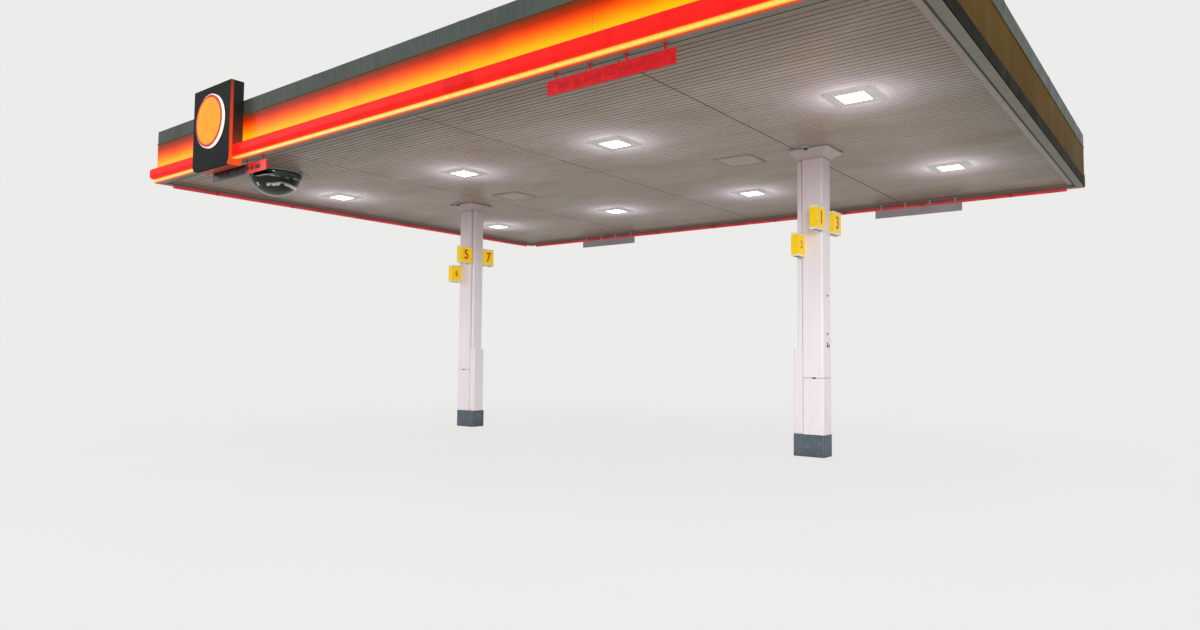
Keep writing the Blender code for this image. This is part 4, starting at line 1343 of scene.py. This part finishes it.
def make_number_sign(number):
    """A yellow box with white end caps, a number on each broad face and dark feet."""
    node_name = "number_sign_%d" % number
    low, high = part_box(node_name)
    face_low, face_high = low.x + SIGN_SETBACK, high.x - SIGN_SETBACK
    bm = bmesh.new()
    add_block(bm, (face_low, low.y + SIGN_SETBACK, low.z + SIGN_CAP),
              (face_high, high.y - SIGN_SETBACK, high.z - SIGN_CAP), soft=0.004)
    for z in (low.z + 0.004, high.z - SIGN_CAP - 0.002):
        add_block(bm, (low.x, low.y, z), (high.x, high.y, z + SIGN_CAP - 0.002), look=1,
                  soft=0.004)
    for y in (low.y + 0.07, high.y - 0.07):
        add_block(bm, (low.x + 0.03, y - 0.02, low.z), (high.x - 0.03, y + 0.02, low.z + 0.005),
                  look=2, soft=0.001, steps=1)
    y = (low.y + high.y) / 2
    z = (low.z + high.z) / 2
    shape = number_shape(str(number), DIGIT_SIZES[number % 2], DIGIT_DEPTH)
    for face_x, out in ((face_low, -1), (face_high, 1)):
        before = set(bm.verts)
        bm.from_mesh(shape)
        place = (Matrix.Translation((face_x + out * DIGIT_DEPTH * 0.2, y, z))
                 @ Matrix.Rotation(math.radians(90 * out), 4, "Z")
                 @ Matrix.Rotation(math.radians(90), 4, "X"))
        bmesh.ops.transform(bm, matrix=place, verts=made_since(bm, before))
        bmesh.ops.remove_doubles(bm, verts=made_since(bm, before), dist=WELD)
        paint(made_since(bm, before), 3)
    bpy.data.meshes.remove(shape)
    finished("number_sign_box_%d" % number, bm, ["sign", "sign_edge", "gasket", "digit"],
             [node_name])


# Blocks on the face that looks right: out from the casing, half width, foot and head,
# look, softness and its steps
FACE_BLOCKS = [
    ((TOUCH, 0.004), 0.030, (1.700, 2.420), 0, 0.0015, 1),    # slim plate
    ((TOUCH, 0.006), 0.012, (1.585, 1.655), 1, 0.002, 1),     # hook's base below it
    ((0.004, 0.032), 0.006, (1.592, 1.604), 1, 0.003, 2),     # hook's arm
    ((0.024, 0.034), 0.006, (1.598, 1.628), 1, 0.003, 2),     # hook's tip
]
PLATE_BOLTS = (1.78, 2.34)
RIVETS = (1.75, 2.35, 2.95, 3.55, 4.15)
FOOT_BOLT_HEIGHT = 0.055
FOOT_BOLT_INSET = 0.09


def make_column_fittings(name):
    """Joint catch, slim bolted plate, hook, groove liner and foot bolts of one column."""
    low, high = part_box("casing_" + name)
    kick_low, kick_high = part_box("kick_plate_" + name)
    duct_low, duct_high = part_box("duct_" + name)
    bm = bmesh.new()
    for (near, far), half, (foot, head), *style in FACE_BLOCKS:
        add_block(bm, (high.x + near, -half, foot), (high.x + far, half, head), *style)
    for z in PLATE_BOLTS:
        add_disc(bm, (high.x + 0.004, 0, z), (1, 0, 0), radius=0.014, height=0.009, look=1,
                 sides=6, soft=0.002)
    # catch on the level joint
    add_block(bm, (low.x + 0.16, low.y - 0.004, JOINT_LEVEL - 0.011),
              (low.x + 0.21, low.y - TOUCH, JOINT_LEVEL + 0.011), look=1, soft=0.0015, steps=1)
    # liner in the groove between casing and duct
    groove = (duct_high.x, low.x) if duct_high.x < low.x else (high.x, duct_low.x)
    guard_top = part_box("guard_" + name)[1].z
    add_block(bm, (groove[0] + TOUCH, duct_low.y + 0.03, guard_top + TOUCH),
              (groove[1] - TOUCH, duct_high.y - 0.03, duct_high.z), look=3)
    for y, out in ((duct_low.y, -1), (duct_high.y, 1)):
        for z in RIVETS:
            add_disc(bm, ((duct_low.x + duct_high.x) / 2, y, z), (0, out, 0), radius=0.006,
                     height=0.002, sides=10, soft=0.001)
    for y, out in ((kick_low.y, -1), (kick_high.y, 1)):
        for x in (kick_low.x + FOOT_BOLT_INSET, kick_high.x - FOOT_BOLT_INSET):
            add_disc(bm, (x, y, FOOT_BOLT_HEIGHT), (0, out, 0), radius=0.011, height=0.007,
                     look=2, sides=6, soft=0.0015)
    finished("column_fittings_" + name, bm, ["casing", "gasket", "zinc", "joint"])


# Build the pieces

for number in range(1, 5):
    make_planks(number)
make_trim()
for side in SIDES:
    make_fascia(side)
    make_coping(side)
for side in LIT_SIDES:
    make_light_bar(side)
make_edge_band()
make_edge_seal()
for side in ("back", "left"):
    make_edge_tube(side)
make_deck()
for number in range(1, 9):
    make_downlight(number)
    make_number_sign(number)
for number in (1, 2):
    make_hatch(number)
for spot in ("front_left", "front_right", "back_left", "back_right"):
    make_board(spot)
make_mirror()
make_corner_sign()
make_emblem()
# Cover, what it covers, corner radius, finish, slot, and whether it has the level joint
COVERS = [("casing_clad_", "casing_", 0.035, "casing", "casing_white", True),
          ("duct_cover_", "duct_", 0.020, "casing", "casing_white", False),
          ("guard_cover_", "guard_", 0.020, "casing", "casing_white", False),
          ("kick_cover_", "kick_plate_", 0.035, "kick", "kick_blue_grey", False)]
for name in ("left", "right"):
    for cover, covered, *rest in COVERS:
        make_upright(cover + name, covered + name, *rest)
    make_capital(name)
    make_camera(name)
    make_column_fittings(name)


# Floor, light and camera

FLOOR_SHINE = 0.82         # the floor's own light, as the camera sees it


def make_floor():
    """Plain pale studio floor, level with the columns' feet and clear from below."""
    material, tree, shader, coords = surface("studio_floor_pale", "DCDCDA", 0.6)
    fill(shader, {BASE: mottled(tree, coords, 2500, [(0.3, "D8D8D6"), (0.7, "E0E0DE")], 2.0)})
    path = node(tree, "LightPath", {}).outputs
    share = node(tree, "Math", [path["Is Camera Ray"], FLOOR_SHINE], operation="MULTIPLY")
    shine = node(tree, "Emission", {"Color": "F0F0EE", "Strength": 1.0})
    above = node(tree, "MixShader", [share, shader, shine])
    under = node(tree, "NewGeometry", {}).outputs["Backfacing"]
    sided = node(tree, "MixShader", [under, above, node(tree, "BsdfTransparent", {})])
    fill(tree.nodes["Material Output"], {"Surface": sided})
    bm = bmesh.new()
    bmesh.ops.create_grid(bm, x_segments=1, y_segments=1, size=120.0)
    bmesh.ops.translate(bm, vec=(0, 0, -0.002), verts=bm.verts)
    mesh = bpy.data.meshes.new("studio_floor")
    bm.to_mesh(mesh)
    bm.free()
    mesh.materials.append(material)
    floor = bpy.data.objects.new("studio_floor", mesh)
    bpy.context.scene.collection.objects.link(floor)
    return floor


def make_world():
    """Soft even light, with a pale backdrop for the eye and for reflections."""
    world = bpy.data.worlds.new("studio")
    bpy.context.scene.world = world
    world.use_nodes = True
    tree = world.node_tree
    tree.nodes.clear()
    path = node(tree, "LightPath", {}).outputs
    seen = path["Is Camera Ray"]
    for ray in ("Is Glossy Ray", "Is Transmission Ray"):
        seen = node(tree, "Math", [seen, path[ray]], operation="MAXIMUM")
    light = node(tree, "Background", {"Color": "F6F5F3", "Strength": 0.95})
    backdrop = node(tree, "Background", {"Color": "ECECEA", "Strength": 1.0})
    node(tree, "OutputWorld", {"Surface": node(tree, "MixShader", [seen, light, backdrop])})


def all_but(floor):
    """Everything apart from the floor, for lamps that would leave a bright patch on it."""
    group = bpy.data.collections.new("all_but_floor")
    group.objects.link(floor)
    group.collection_objects[0].light_linking.link_state = "EXCLUDE"
    return group


def make_softbox(name, spot, target, size, watts, lit):
    """A square lamp; lit is the group it shines on, or None for everything."""
    light = bpy.data.lights.new(name, "AREA")
    light.shape = "SQUARE"
    light.size = size
    light.energy = watts
    box = bpy.data.objects.new(name, light)
    box.location = spot
    box.rotation_euler = (Vector(target) - Vector(spot)).to_track_quat("-Z", "Y").to_euler()
    box.light_linking.receiver_collection = lit
    bpy.context.scene.collection.objects.link(box)


CAMERA_SPOT = (8.333, -11.161, 1.442)
CAMERA_YAW = 0.660         # from straight ahead towards the left
CAMERA_PITCH = 0.051
CAMERA_ROLL = 0.008
FOCAL_PIXELS = 792.987
FRAME_PIXELS = 1200
SENSOR_WIDTH = 36.0


def make_camera_view():
    """The photograph's viewpoint, low and to the right of the front."""
    data = bpy.data.cameras.new("view")
    data.sensor_width = SENSOR_WIDTH
    data.lens = SENSOR_WIDTH * FOCAL_PIXELS / FRAME_PIXELS
    data.clip_end = 400.0
    ahead = Vector((-math.sin(CAMERA_YAW) * math.cos(CAMERA_PITCH),
                    math.cos(CAMERA_YAW) * math.cos(CAMERA_PITCH), math.sin(CAMERA_PITCH)))
    right = Vector((math.cos(CAMERA_YAW), math.sin(CAMERA_YAW), 0.0))
    up = right.cross(ahead)
    turned_right = math.cos(CAMERA_ROLL) * right + math.sin(CAMERA_ROLL) * up
    turned_up = math.cos(CAMERA_ROLL) * up - math.sin(CAMERA_ROLL) * right
    turn = Matrix((turned_right, turned_up, -ahead)).transposed().to_4x4()
    view = bpy.data.objects.new("view", data)
    view.matrix_world = Matrix.Translation(CAMERA_SPOT) @ turn
    bpy.context.scene.collection.objects.link(view)
    bpy.context.scene.camera = view


object_only = all_but(make_floor())
make_world()
# Lamp, its place, what it points at, its size and watts, and what it shines on
SOFTBOXES = [("key_light", (14.0, -18.0, 9.0), (0, 0, 3.0), 9.0, 1500, None),
             ("low_light", (17.0, -21.0, 5.5), (0, 0, 2.0), 5.0, 1000, object_only),
             ("fill_light", (-16.0, -16.0, 10.0), (0, 0, 3.0), 10.0, 900, object_only),
             ("back_light", (4.0, 20.0, 11.0), (0, 0, 3.5), 11.0, 600, object_only)]
for lamp in SOFTBOXES:
    make_softbox(*lamp)
make_camera_view()
bpy.context.scene.view_settings.view_transform = "Standard"
